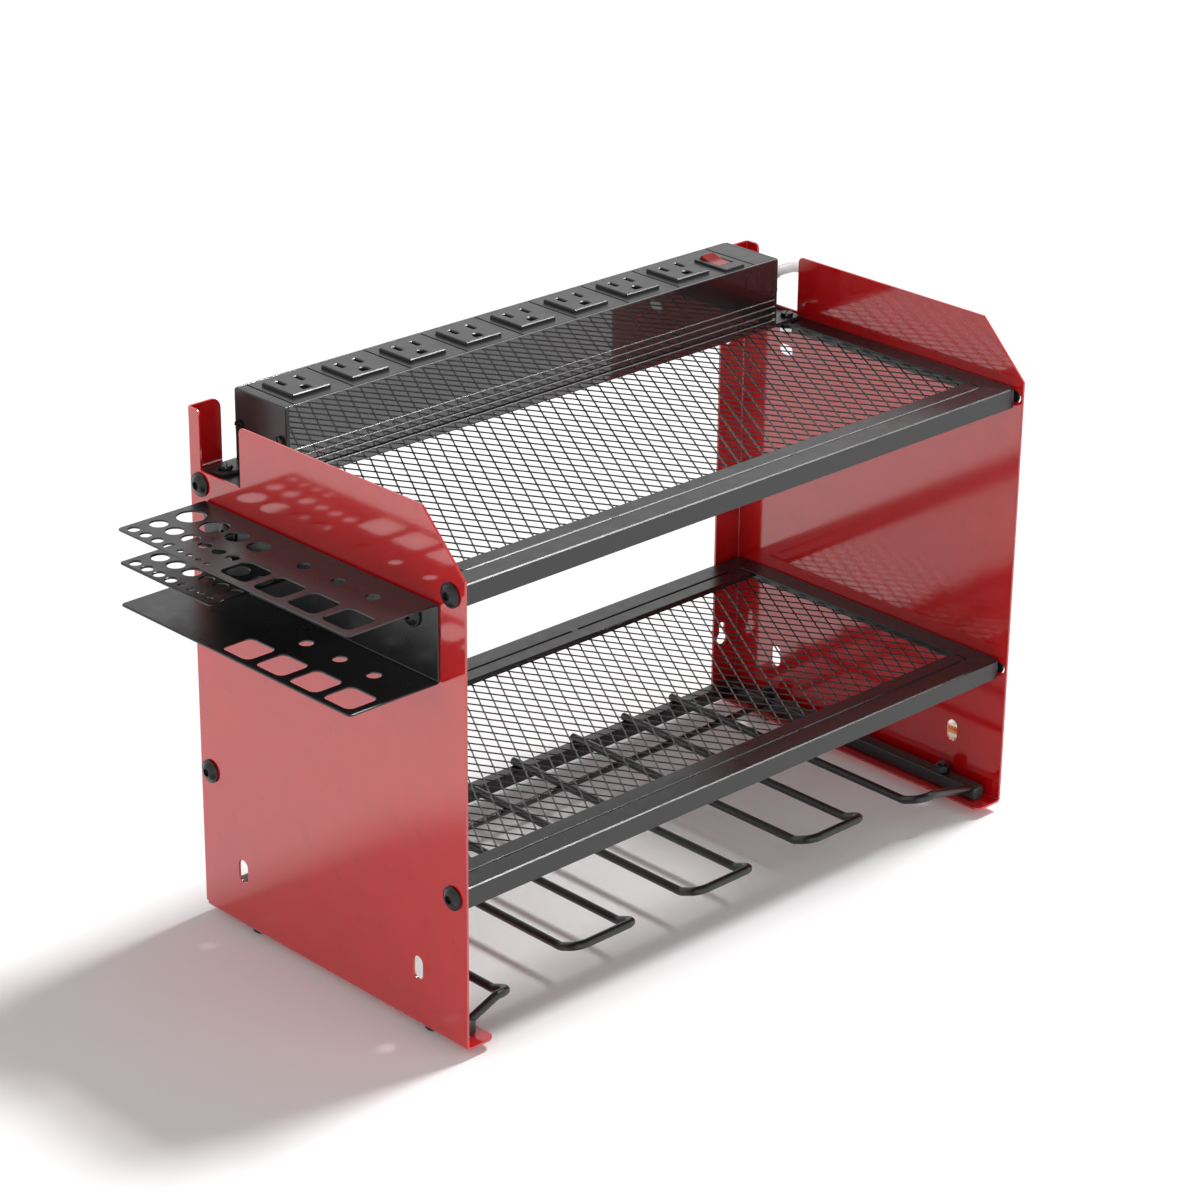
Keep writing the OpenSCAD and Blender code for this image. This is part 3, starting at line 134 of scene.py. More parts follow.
def fillet(corners: Sequence[tuple[float, float, float]], steps: int = 5) -> list[tuple[float, float, Rank]]:
    """Rounds the corners of a polygon.

    Args:
        corners: Corner points, each with its radius.
        steps: Number of steps in each rounded corner.

    Returns:
        The points, each with the rank of the side that leads to the next one.
    """
    out: list[tuple[float, float, Rank]] = []
    count = len(corners)
    for i, (x, y, radius) in enumerate(corners):
        here = Vector((x, y))
        back = Vector(corners[i - 1][:2]) - here
        ahead = Vector(corners[(i + 1) % count][:2]) - here
        if radius <= 0:
            out.append((x, y, Rank.MAIN))
            continue
        a, b = back.normalized(), ahead.normalized()
        half = a.angle(b) / 2
        run = min(radius / math.tan(half), back.length * 0.499, ahead.length * 0.499)
        radius = run * math.tan(half)
        middle = here + (a + b).normalized() * (radius / math.sin(half))
        first, last = here + a * run - middle, here + b * run - middle
        sweep = math.atan2(first.x * last.y - first.y * last.x, first.dot(last))
        start = math.atan2(first.y, first.x)
        for k in range(steps + 1):
            angle = start + sweep * k / steps
            rank = Rank.MAIN if k == steps else Rank.ROUND
            out.append((middle.x + radius * math.cos(angle), middle.y + radius * math.sin(angle), rank))
    return out


def outline(corners: Sequence[tuple[float, float, float]], steps: int = 5) -> list[Point]:
    """The points of a polygon with rounded corners."""
    return [(x, y) for x, y, _ in fillet(corners, steps)]


def rounded(x: float, y: float, w: float, d: float, r: float, steps: int = 5) -> list[Point]:
    """A rectangle about a centre, with rounded corners."""
    a, b = w / 2, d / 2
    return outline([(x - a, y - b, r), (x + a, y - b, r), (x + a, y + b, r), (x - a, y + b, r)], steps)


def long_hole(x: float, y: float, size: Point) -> list[Point]:
    """A long hole about a centre, round at its ends."""
    return rounded(x, y, *size, min(size) / 2, 8)


def quarter(radius: float) -> float:
    """Length of a sheet's outer face round a square bend."""
    return radius * math.pi / 2


def bend_over(over: float, depth: float, radius: float) -> Point:
    """Leads a sheet round a square bend and on beyond it.

    Args:
        over: Run on the outer face past the start of the bend, negative before it.
        depth: Depth below the outer face.
        radius: Outer radius of the bend.

    Returns:
        Distance inwards from the first face, and distance along it past the start of the bend.
    """
    if over <= 0:
        return depth, over
    a = min(over, quarter(radius)) / radius
    beyond = max(over - quarter(radius), 0.0)
    return radius - (radius - depth) * math.cos(a) + beyond, (radius - depth) * math.sin(a)


def hexagon(flats: float, angle: float) -> float:
    """Distance from the middle of a hexagon to its side, at an angle in degrees."""
    return flats / 2 / math.cos(math.radians((angle + 30) % 60 - 30))


def signed_area(loop: Sequence[Point]) -> float:
    """Area of a loop, positive when it runs anticlockwise."""
    return sum(a[0] * b[1] - b[0] * a[1] for a, b in zip(loop, list(loop[1:]) + [loop[0]])) / 2


def turned(loop: Sequence[Point], anticlockwise: bool) -> list[Point]:
    """The loop, run in the direction asked for."""
    return list(loop) if (signed_area(loop) > 0) == anticlockwise else list(reversed(loop))


def drawn_in(loop: Sequence[Point], by: float) -> list[Point]:
    """Moves each point of a loop to its left, square to the sides beside it.

    Args:
        loop: The closed loop.
        by: Distance to move.

    Returns:
        The moved points.
    """
    out = []
    for i, point in enumerate(loop):
        before, after = Vector(loop[i - 1]), Vector(loop[(i + 1) % len(loop)])
        here = Vector(point)
        a, b = (here - before).normalized(), (after - here).normalized()
        normal = Vector((-a.y, a.x)) + Vector((-b.y, b.x))
        normal.normalize()
        share = max(normal.dot(Vector((-a.y, a.x))), 0.5)
        out.append(tuple(here + normal * (by / share)))
    return out


# Forms


def dress_normals(mesh: bpy.types.Mesh) -> None:
    """Gives each corner of a mesh the normal of the main faces it belongs to.

    Args:
        mesh: A mesh whose faces carry the integer attribute "rank".
    """
    work = bmesh.new()
    work.from_mesh(mesh)
    layer = work.faces.layers.int.get("rank")
    work.faces.ensure_lookup_table()
    areas = [face.calc_area() for face in work.faces]
    normals: list[Vector] = []
    for face in work.faces:
        for vert in face.verts:
            top = max(other[layer] for other in vert.link_faces)
            best = [other for other in vert.link_faces if other[layer] == top]
            lead = face if face[layer] == top else max(best, key=lambda o: o.normal.dot(face.normal))
            if lead.normal.dot(face.normal) < 0.2:
                normals.append(face.normal.copy())
                continue
            total = Vector((0, 0, 0))
            for other in best:
                if other.normal.dot(lead.normal) > 0.76:
                    total += other.normal * areas[other.index]
            normals.append(total.normalized() if total.length > 1e-12 else face.normal.copy())
    work.free()
    mesh.shade_smooth()
    mesh.normals_split_custom_set(normals)


class Form:
    """A growing mesh in millimetres, whose faces are ranked for their shading."""

    def __init__(self) -> None:
        """Starts an empty form."""
        self.mesh = bmesh.new()
        self.layer = self.mesh.faces.layers.int.new("rank")

    def face(self, verts: Sequence[bmesh.types.BMVert], rank: Rank) -> None:
        """Adds one face, unless its corners have run together."""
        distinct = list(dict.fromkeys(verts))
        if len(distinct) > 2:
            self.mesh.faces.new(distinct)[self.layer] = rank

    def skin(
        self,
        rows: Sequence[Sequence[Vector]],
        ranks: Sequence[Rank] | None = None,
        ring: bool = False,
        ends: bool = False,
    ) -> "Form":
        """Joins closed rows of points with quads.

        Args:
            rows: Rows with one number of points.
            ranks: Rank of the strip after each row.
            ring: Whether the last row joins the first.
            ends: Whether the first and the last row are closed with a face.

        Returns:
            The form itself.
        """
        verts = [[self.mesh.verts.new(point) for point in row] for row in rows]
        count = len(verts[0])
        for i in range(len(verts) - (0 if ring else 1)):
            a, b = verts[i], verts[(i + 1) % len(verts)]
            rank = ranks[i] if ranks else Rank.MAIN
            for k in range(count):
                n = (k + 1) % count
                self.face((a[k], a[n], b[n], b[k]), rank)
        if ends:
            self.face(list(reversed(verts[0])), Rank.MAIN)
            self.face(verts[-1], Rank.MAIN)
        return self

    def slab(
        self,
        outer: Sequence[Point],
        holes: Iterable[Sequence[Point]],
        low: float,
        high: float,
        edge: float = 0.3,
        steps: int = 2,
        low_edge: float | None = None,
        bevel: Point | None = None,
    ) -> "Form":
        """Adds a plate with rounded edges, drawn in X and Y, with its thickness along Z.

        Args:
            outer: Outer loop.
            holes: Loops of the holes.
            low: Height of the lower face.
            high: Height of the upper face.
            edge: Radius of the upper edges.
            steps: Steps in an edge.
            low_edge: Radius of the lower edges, when it isn't the same.
            bevel: Width and height of a flat bevel in place of the upper rounding.

        Returns:
            The form itself.
        """
        under = edge if low_edge is None else low_edge
        rings = []
        for k in range(steps + 1):
            a = math.pi / 2 * k / steps
            rings.append((under * (1 - math.sin(a)), low + under * (1 - math.cos(a)), Rank.ROUND))
        rings[-1] = (0.0, low + under, Rank.MAIN)
        if bevel:
            wide, deep = bevel
            # The bevel is straight but for a short soft turn at its foot and at its lip
            turns = ((0.0, 1.25), (0.07, 1.0), (0.95, 0.05), (1.1, 0.0))
            rings += [(share * wide, high - drop * deep, Rank.ROUND) for share, drop in turns]
        else:
            for k in range(steps + 1):
                a = math.pi / 2 * k / steps
                rings.append((edge * (1 - math.cos(a)), high - edge * (1 - math.sin(a)), Rank.ROUND))
        caps: tuple[list[bmesh.types.BMVert], list[bmesh.types.BMVert]] = ([], [])
        links: list[tuple[int, int]] = []
        loops = [turned(outer, True)] + [turned(hole, False) for hole in holes]
        for loop in loops:
            rows = [[Vector((x, y, z)) for x, y in drawn_in(loop, inset)] for inset, z, _ in rings]
            verts = [[self.mesh.verts.new(point) for point in row] for row in rows]
            count = len(loop)
            for i in range(len(verts) - 1):
                for k in range(count):
                    n = (k + 1) % count
                    self.face((verts[i][k], verts[i][n], verts[i + 1][n], verts[i + 1][k]), rings[i][2])
            start = len(caps[0])
            links += [(start + k, start + (k + 1) % count) for k in range(count)]
            caps[0].extend(verts[0])
            caps[1].extend(verts[-1])
        for verts, up in zip(caps, (False, True)):
            self.fill(verts, links, up)
        return self

    def fill(self, verts: list[bmesh.types.BMVert], links: list[tuple[int, int]], up: bool) -> None:
        """Fills flat loops with triangles and leaves their holes open.

        Args:
            verts: All corners of the loops.
            links: The sides of the loops, as pairs of indices.
            up: Whether the face looks up.
        """
        flat = [Vector((v.co.x, v.co.y)) for v in verts]
        coords, _, faces, origins, _, _ = delaunay_2d_cdt(flat, links, [], 0, 1e-6)
        plane = np.array([tuple(c) for c in coords])
        tris = np.array([tuple(f) for f in faces if len(f) == 3])
        centres = plane[tris].mean(axis=1)
        ends = np.array([[tuple(flat[a]), tuple(flat[b])] for a, b in links])
        inside = np.zeros(len(tris), int)
        for (ax, ay), (bx, by) in ends:
            if ay == by:
                continue
            spans = (ay > centres[:, 1]) != (by > centres[:, 1])
            cross = ax + (centres[:, 1] - ay) * (bx - ax) / (by - ay)
            inside += spans & (centres[:, 0] < cross)
        level = verts[0].co.z
        spots = [
            verts[origin[0]] if origin else self.mesh.verts.new((spot.x, spot.y, level))
            for origin, spot in zip(origins, coords)
        ]
        for tri, odd in zip(tris, inside % 2):
            if odd:
                corners = [spots[i] for i in tri]
                self.face(corners if up else list(reversed(corners)), Rank.MAIN)

    def split(self, axis: int, places: Iterable[float]) -> "Form":
        """Cuts the faces along planes square to an axis, so that the form can bend there.

        Args:
            axis: Index of the axis.
            places: Where the planes cross it.

        Returns:
            The form itself.
        """
        for place in places:
            point, normal = Vector((0, 0, 0)), Vector((0, 0, 0))
            point[axis], normal[axis] = place, 1.0
            everything = self.mesh.verts[:] + self.mesh.edges[:] + self.mesh.faces[:]
            bmesh.ops.bisect_plane(self.mesh, geom=everything, dist=1e-5, plane_co=point, plane_no=normal)
        return self

    def move(self, place: Place) -> "Form":
        """Sends every point through a placing function."""
        for vert in self.mesh.verts:
            vert.co = place(*vert.co)
        return self

    def mirror(self) -> "Form":
        """Turns a left piece into the right one."""
        return self.move(lambda x, y, z: Vector((BODY_W - x, y, z)))

    def add(self, other: "Form") -> "Form":
        """Takes over the faces of another form.

        Args:
            other: The form, which is used up.

        Returns:
            The form itself.
        """
        made = {vert: self.mesh.verts.new(vert.co) for vert in other.mesh.verts}
        for face in other.mesh.faces:
            self.mesh.faces.new([made[v] for v in face.verts])[self.layer] = face[other.layer]
        other.mesh.free()
        return self

    def tube(self, path: Sequence[Vector], d: float, sides: int = 20, edge: float = 0.4) -> "Form":
        """Adds a round wire along a path, with softly rounded ends.

        Args:
            path: Points of the wire's middle line.
            d: Its diameter.
            sides: Sides of its section.
            edge: Rounding of the two ends.

        Returns:
            The form itself.
        """
        points = [Vector(p) for p in path]
        last = len(points) - 1
        tangents = [(points[min(i + 1, last)] - points[max(i - 1, 0)]).normalized() for i in range(last + 1)]
        angles = [2 * math.pi * k / sides for k in range(sides)]
        normal = tangents[0].orthogonal().normalized()
        rows: list[list[Vector]] = []
        for i, (point, tangent) in enumerate(zip(points, tangents)):
            normal = (normal - tangent * normal.dot(tangent)).normalized()
            side = tangent.cross(normal)
            stops = [(0.0, d / 2)]
            if i in (0, last):
                inward = 1 if i == 0 else -1
                stops = [
                    (edge * (1 - math.cos(a)) * inward, d / 2 - edge * (1 - math.sin(a)))
                    for a in (0.0, math.pi / 4, math.pi / 2)
                ]
                stops = stops if i == 0 else stops[::-1]
            for along, r in stops:
                middle = point + tangent * along
                rows.append([middle + normal * r * math.cos(a) + side * r * math.sin(a) for a in angles])
        return self.skin(rows, ends=True)

    def lathe(
        self, profile: Sequence[Point], hexes: dict[int, float] | None = None, sides: int = 36
    ) -> "Form":
        """Turns a profile of radius and height about the Z axis.

        Args:
            profile: Pairs of radius and height; a radius of zero closes the form.
            hexes: Rows that are hexagons in place of circles, each with its width across flats.
            sides: Number of steps round the axis.

        Returns:
            The form itself.
        """
        flats = hexes or {}
        rows = []
        for i, (radius, z) in enumerate(profile):
            ring = []
            for k in range(sides):
                angle = 360 * k / sides
                r = hexagon(flats[i], angle) if i in flats else radius
                ring.append(Vector((r * math.cos(math.radians(angle)), r * math.sin(math.radians(angle)), z)))
            rows.append(ring)
        return self.skin(rows)

    def to_mesh(self, name: str, scale: bool = True) -> bpy.types.Mesh:
        """Closes the form and turns it into a mesh with its shading.

        Args:
            name: Name of the mesh.
            scale: Whether the points go to the part's frame; otherwise they only become metres.

        Returns:
            The mesh in metres.
        """
        bmesh.ops.remove_doubles(self.mesh, verts=self.mesh.verts[:], dist=1e-4)
        for vert in self.mesh.verts:
            vert.co = to_part(vert.co) if scale else vert.co * MM
        bmesh.ops.recalc_face_normals(self.mesh, faces=self.mesh.faces[:])
        mesh = bpy.data.meshes.new(name)
        self.mesh.to_mesh(mesh)
        self.mesh.free()
        dress_normals(mesh)
        return mesh


# Node trees


class Tree:
    """A node tree whose nodes are added together with their links."""

    def __init__(self, tree: bpy.types.NodeTree) -> None:
        """Takes over a tree."""
        self.tree = tree

    def node(self, kind: str, links: dict[str, object] | None = None, **settings: object) -> bpy.types.Node:
        """Adds a node, and links or sets its inputs.

        Args:
            kind: Type of the node.
            links: For each input, an output socket or a value.
            settings: Attributes of the node itself.

        Returns:
            The node.
        """
        node = self.tree.nodes.new(kind)
        for key, value in settings.items():
            setattr(node, key, value)
        for key, value in (links or {}).items():
            self.feed(node.inputs[int(key)] if key.isdigit() else node.inputs[key], value)
        return node

    def feed(self, socket: bpy.types.NodeSocket, value: object) -> None:
        """Links an output to a socket, or sets a value on it.

        Args:
            socket: The input socket.
            value: An output socket or a value.
        """
        if isinstance(value, bpy.types.NodeSocket):
            self.tree.links.new(value, socket)
        else:
            socket.default_value = value

    def math(self, operation: str, a: object, b: object = 0.0) -> bpy.types.NodeSocket:
        """Adds a sum or another operation on two values."""
        return self.node("ShaderNodeMath", {"0": a, "1": b}, operation=operation).outputs[0]

    def noise(self, place: bpy.types.NodeSocket, size: float, detail: float) -> bpy.types.NodeSocket:
        """Adds a noise whose lumps have a size in millimetres.

        Args:
            place: Socket that gives the place.
            size: Size of the lumps.
            detail: Number of finer layers.

        Returns:
            The value of the noise.
        """
        inputs = {"Vector": place, "Scale": 1000.0 / size, "Detail": detail}
        return self.node("ShaderNodeTexNoise", inputs).outputs["Fac"]

    def seen_directly(self) -> bpy.types.NodeSocket:
        """One for the camera's rays and for mirrored ones, and zero for the rest."""
        rays = self.node("ShaderNodeLightPath").outputs
        return self.math("MAXIMUM", rays["Is Camera Ray"], rays["Is Glossy Ray"])


# Finishes


@dataclass(frozen=True)
class Finish:
    """A surface finish: its colour, gloss, grain and unevenness."""

    name: str
    colour: tuple[float, float, float]
    roughness: float
    metallic: float = 0.0
    ior: float = 1.5
    coat: float = 0.0
    coat_roughness: float = 0.03
    coat_ior: float = 1.5
    grain: float = 0.6
    depth: float = 0.0
    mottle: float = 0.06
    mottle_size: float = 30.0
    spread: float = 0.05
    transmission: float = 0.0
    stretch: tuple[float, float, float] = (1.0, 1.0, 1.0)

    def material(self) -> bpy.types.Material:
        """Builds the material of this finish, or finds it when it has been built.

        Returns:
            The node-based material.
        """
        label = self.name + "_look"
        known = bpy.data.materials.get(label)
        if known:
            return known
        material = bpy.data.materials.new(label)
        material.use_nodes = True
        kit = Tree(material.node_tree)
        shader = kit.tree.nodes["Principled BSDF"].inputs
        constants = {
            "Metallic": self.metallic, "IOR": self.ior, "Coat Weight": self.coat, "Coat IOR": self.coat_ior,
            "Coat Roughness": self.coat_roughness, "Transmission Weight": self.transmission,
        }
        for socket, value in constants.items():
            kit.feed(shader[socket], value)
        place = kit.node("ShaderNodeTexCoord").outputs["Object"]
        mapping = kit.node("ShaderNodeMapping", {"Vector": place, "Scale": self.stretch}).outputs["Vector"]
        wide = kit.noise(mapping, self.mottle_size, 4.0)
        kit.feed(shader["Base Color"], self.shades(kit, wide))
        rough = kit.node("ShaderNodeMapRange", {
            "Value": wide, "From Min": 0.3, "From Max": 0.7,
            "To Min": max(self.roughness - self.spread, 0.0),
            "To Max": min(self.roughness + self.spread, 1.0),
        })
        kit.feed(shader["Roughness"], rough.outputs["Result"])
        if self.depth > 0:
            fine = kit.noise(mapping, self.grain, 2.0)
            bumps = {"Distance": self.depth * MM, "Strength": 1.0, "Height": fine}
            normal = kit.node("ShaderNodeBump", bumps).outputs["Normal"]
            kit.feed(shader["Normal"], normal)
            if self.coat > 0:
                kit.feed(shader["Coat Normal"], normal)
        return material

    def shades(self, kit: Tree, wide: bpy.types.NodeSocket) -> bpy.types.NodeSocket:
        """Lets the colour wander a little over the surface.

        Args:
            kit: Node tree of the material.
            wide: Noise that drives the colour.

        Returns:
            The colour.
        """
        ramp = kit.node("ShaderNodeValToRGB", {"Fac": wide})
        shares = (1 - self.mottle, 1 + self.mottle)
        for stop, position, share in zip(ramp.color_ramp.elements, (0.32, 0.68), shares):
            stop.position = position
            stop.color = (*[min(c * share, 1) for c in self.colour], 1)
        return ramp.outputs["Color"]


RED_COAT = Finish(
    "red_powder_coat", (0.60, 0.004, 0.006), 0.30, ior=1.1, coat=1.0, coat_roughness=0.10, coat_ior=2.0,
    grain=1.8, depth=0.010, mottle=0.04, mottle_size=14.0, spread=0.03,
)
BLACK_COAT = Finish(
    "black_powder_coat", (0.009, 0.009, 0.010), 0.31, ior=1.62, grain=1.1, depth=0.003,
    mottle=0.12, mottle_size=8.0, spread=0.05,
)
BLACK_MESH = Finish(
    "black_mesh_coat", (0.010, 0.010, 0.011), 0.31, ior=1.60, grain=1.1, depth=0.003,
    mottle=0.15, mottle_size=6.0, spread=0.05,
)
BLACK_SCREW = Finish(
    "black_screw", (0.022, 0.022, 0.024), 0.30, metallic=0.35, grain=0.35, depth=0.006,
    mottle=0.15, mottle_size=3.0, spread=0.07,
)
ZINC = Finish(
    "zinc", (0.62, 0.63, 0.64), 0.30, metallic=1.0, grain=0.3, depth=0.004, mottle=0.08, mottle_size=2.0,
)
GLOSS_HOUSING = Finish(
    "black_gloss_housing", (0.008, 0.006, 0.007), 0.28, ior=1.45, coat=1.0, coat_roughness=0.03,
    coat_ior=1.85, grain=6.0, depth=0.003, mottle=0.10, mottle_size=40.0, spread=0.02,
)
BLACK_PLASTIC = Finish(
    "black_plastic", (0.024, 0.024, 0.025), 0.33, ior=1.58, grain=0.9, depth=0.003,
    mottle=0.10, mottle_size=10.0, spread=0.05,
)
IVORY = Finish(
    "ivory_plastic", (0.72, 0.70, 0.62), 0.45, grain=0.4, depth=0.01, mottle=0.05, mottle_size=12.0,
)
BRASS = Finish(
    "contact_brass", (0.72, 0.53, 0.24), 0.24, metallic=1.0, grain=0.25, depth=0.003,
    mottle=0.10, mottle_size=4.0, stretch=(0.15, 1.0, 1.0),
)
RED_LENS = Finish(
    "red_lens", (0.30, 0.004, 0.006), 0.14, ior=1.40, coat=0.25, grain=2.0, depth=0.003,
    mottle=0.10, mottle_size=6.0, spread=0.04, transmission=0.12,
)
LAMP_GLASS = Finish("lamp_glass", (0.95, 0.60, 0.40), 0.05, transmission=0.9, mottle=0.03, spread=0.02)
LEAD_BLACK = Finish("lead_black", (0.03, 0.03, 0.03), 0.45, grain=0.5, depth=0.006)
LEAD_GREY = Finish("lead_grey", (0.30, 0.30, 0.30), 0.45, grain=0.5, depth=0.006)
LEAD_WHITE = Finish("lead_white", (0.80, 0.80, 0.78), 0.45, grain=0.5, depth=0.006)
LEAD_GREEN = Finish("lead_green", (0.05, 0.35, 0.10), 0.45, grain=0.5, depth=0.006)
SHEATH = Finish(
    "cord_sheath", (0.60, 0.60, 0.585), 0.38, grain=0.7, depth=0.010, mottle=0.05, mottle_size=9.0,
)
TIE = Finish(
    "tie_plastic", (0.06, 0.06, 0.065), 0.5, grain=0.5, depth=0.02, mottle=0.12, mottle_size=3.0,
)


# Pieces and baked copies


def linked(name: str, data: bpy.types.ID) -> bpy.types.Object:
    """Makes an object out of some data and puts it in the scene."""
    made = bpy.data.objects.new(name, data)
    bpy.context.scene.collection.objects.link(made)
    return made


def finish_piece(
    mesh: bpy.types.Mesh,
    finish: Finish,
    nodes: Sequence[str] = (),
    body: str = "frame",
    slot: str | None = None,
) -> bpy.types.Object:
    """Turns a mesh in the part's frame into a finished piece.

    Args:
        mesh: The mesh, whose name the piece takes.
        finish: Its finish.
        nodes: Solids that it stands for.
        body: Body that it rides on.
        slot: Material slot, when it isn't named as the finish is; not used.

    Returns:
        The piece.
    """
    piece = linked(mesh.name, mesh)
    if not mesh.materials:
        mesh.materials.append(finish.material())
    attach(piece, body)
    if nodes:
        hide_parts(*nodes)
    slot or finish.name
    log.info("piece %s: %d faces", piece.name, len(mesh.polygons))
    return piece


class GeometryTree(Tree):
    """A small Geometry Nodes tree with named inputs, whose result is baked to a plain mesh."""

    def __init__(self, name: str, inputs: Sequence[tuple[str, str]]) -> None:
        """Starts the tree.

        Args:
            name: Name of the tree.
            inputs: Name and socket type of each input after the geometry.
        """
        super().__init__(bpy.data.node_groups.new(name, "GeometryNodeTree"))
        face = self.tree.interface
        face.new_socket("Geometry", in_out="INPUT", socket_type="NodeSocketGeometry")
        self.keys = {}
        for label, kind in inputs:
            self.keys[label] = face.new_socket(label, in_out="INPUT", socket_type=kind).identifier
        face.new_socket("Geometry", in_out="OUTPUT", socket_type="NodeSocketGeometry")
        self.source = self.tree.nodes.new("NodeGroupInput").outputs
        self.sink = self.tree.nodes.new("NodeGroupOutput")

    def end(self, geometry: bpy.types.NodeSocket) -> None:
        """Realizes the instances and gives them the finish."""
        real = self.node("GeometryNodeRealizeInstances", {"Geometry": geometry})
        named = {"Geometry": real.outputs[0], "Material": self.source["Finish"]}
        self.feed(self.sink.inputs["Geometry"], self.node("GeometryNodeSetMaterial", named).outputs[0])

    def bake(
        self, name: str, seats: bpy.types.Mesh, values: dict[str, object], finish: Finish
    ) -> bpy.types.Mesh:
        """Runs the tree once and keeps the plain result.

        Args:
            name: Name of the new mesh.
            seats: Mesh that goes in.
            values: Value of each named input.
            finish: Finish of the result.

        Returns:
            The baked mesh.
        """
        holder = linked(name + "_seats", seats)
        modifier = holder.modifiers.new("copies", "NODES")
        modifier.node_group = self.tree
        for label, value in {**values, "Finish": finish.material()}.items():
            modifier[self.keys[label]] = value
        graph = bpy.context.evaluated_depsgraph_get()
        mesh = bpy.data.meshes.new_from_object(holder.evaluated_get(graph), depsgraph=graph)
        mesh.name = name
        holder.modifiers.remove(modifier)
        bpy.data.objects.remove(holder)
        mesh.materials.clear()
        mesh.materials.append(finish.material())
        return mesh


class Copies:
    """Sets a template on seats, each with its own turn, and spins it about its own axis."""

    def __init__(self) -> None:
        """Builds the tree."""
        self.kit = GeometryTree("place_copies", [
            ("Template", "NodeSocketObject"), ("Finish", "NodeSocketMaterial"),
            ("Spin", "NodeSocketFloat"), ("Seed", "NodeSocketInt"),
        ])
        kit, ins = self.kit, self.kit.source
        template = kit.node("GeometryNodeObjectInfo", {"Object": ins["Template"]})
        turn = kit.node("GeometryNodeInputNamedAttribute", {"Name": "turn"}, data_type="FLOAT_VECTOR")
        seat = kit.node("FunctionNodeEulerToRotation", {"Euler": turn.outputs["Attribute"]})
        random = kit.node("FunctionNodeRandomValue", {"Seed": ins["Seed"]}, data_type="FLOAT")
        share = next(socket for socket in random.outputs if socket.enabled)
        spin = kit.math("MULTIPLY", share, ins["Spin"])
        own = kit.node("FunctionNodeAxisAngleToRotation", {"Axis": (0.0, 0.0, 1.0), "Angle": spin})
        both = {"Rotation": seat.outputs[0], "Rotate By": own.outputs[0]}
        rotation = kit.node("FunctionNodeRotateRotation", both, rotation_space="LOCAL")
        copies = kit.node("GeometryNodeInstanceOnPoints", {
            "Points": ins["Geometry"], "Instance": template.outputs["Geometry"],
            "Rotation": rotation.outputs[0],
        })
        kit.end(copies.outputs[0])

    def place(
        self,
        name: str,
        template: Form,
        seats: Sequence[tuple[Vector, Euler]],
        finish: Finish,
        nodes: Sequence[str] = (),
        spin: float = 0.0,
        seed: int = 3,
    ) -> bpy.types.Object:
        """Makes one piece out of copies of a template.

        Args:
            name: Name of the piece.
            template: Form drawn about its own origin.
            seats: Place in the organizer's millimetres, and turn, of each copy.
            finish: Finish of the piece.
            nodes: Solids that it stands for.
            spin: Largest turn of a copy about its own axis.
            seed: Seed of the spin.

        Returns:
            The piece.
        """
        shape = linked(name + "_template", template.to_mesh(name + "_template", scale=False))
        points = bpy.data.meshes.new(name + "_seats")
        points.from_pydata([to_part(place) for place, _ in seats], [], [])
        turns = points.attributes.new("turn", "FLOAT_VECTOR", "POINT")
        for i, (_, turn) in enumerate(seats):
            turns.data[i].vector = tuple(turn)
        mesh = self.kit.bake(name, points, {"Template": shape, "Spin": spin, "Seed": seed}, finish)
        bpy.data.objects.remove(shape)
        dress_normals(mesh)
        return finish_piece(mesh, finish, nodes)


# Side panels


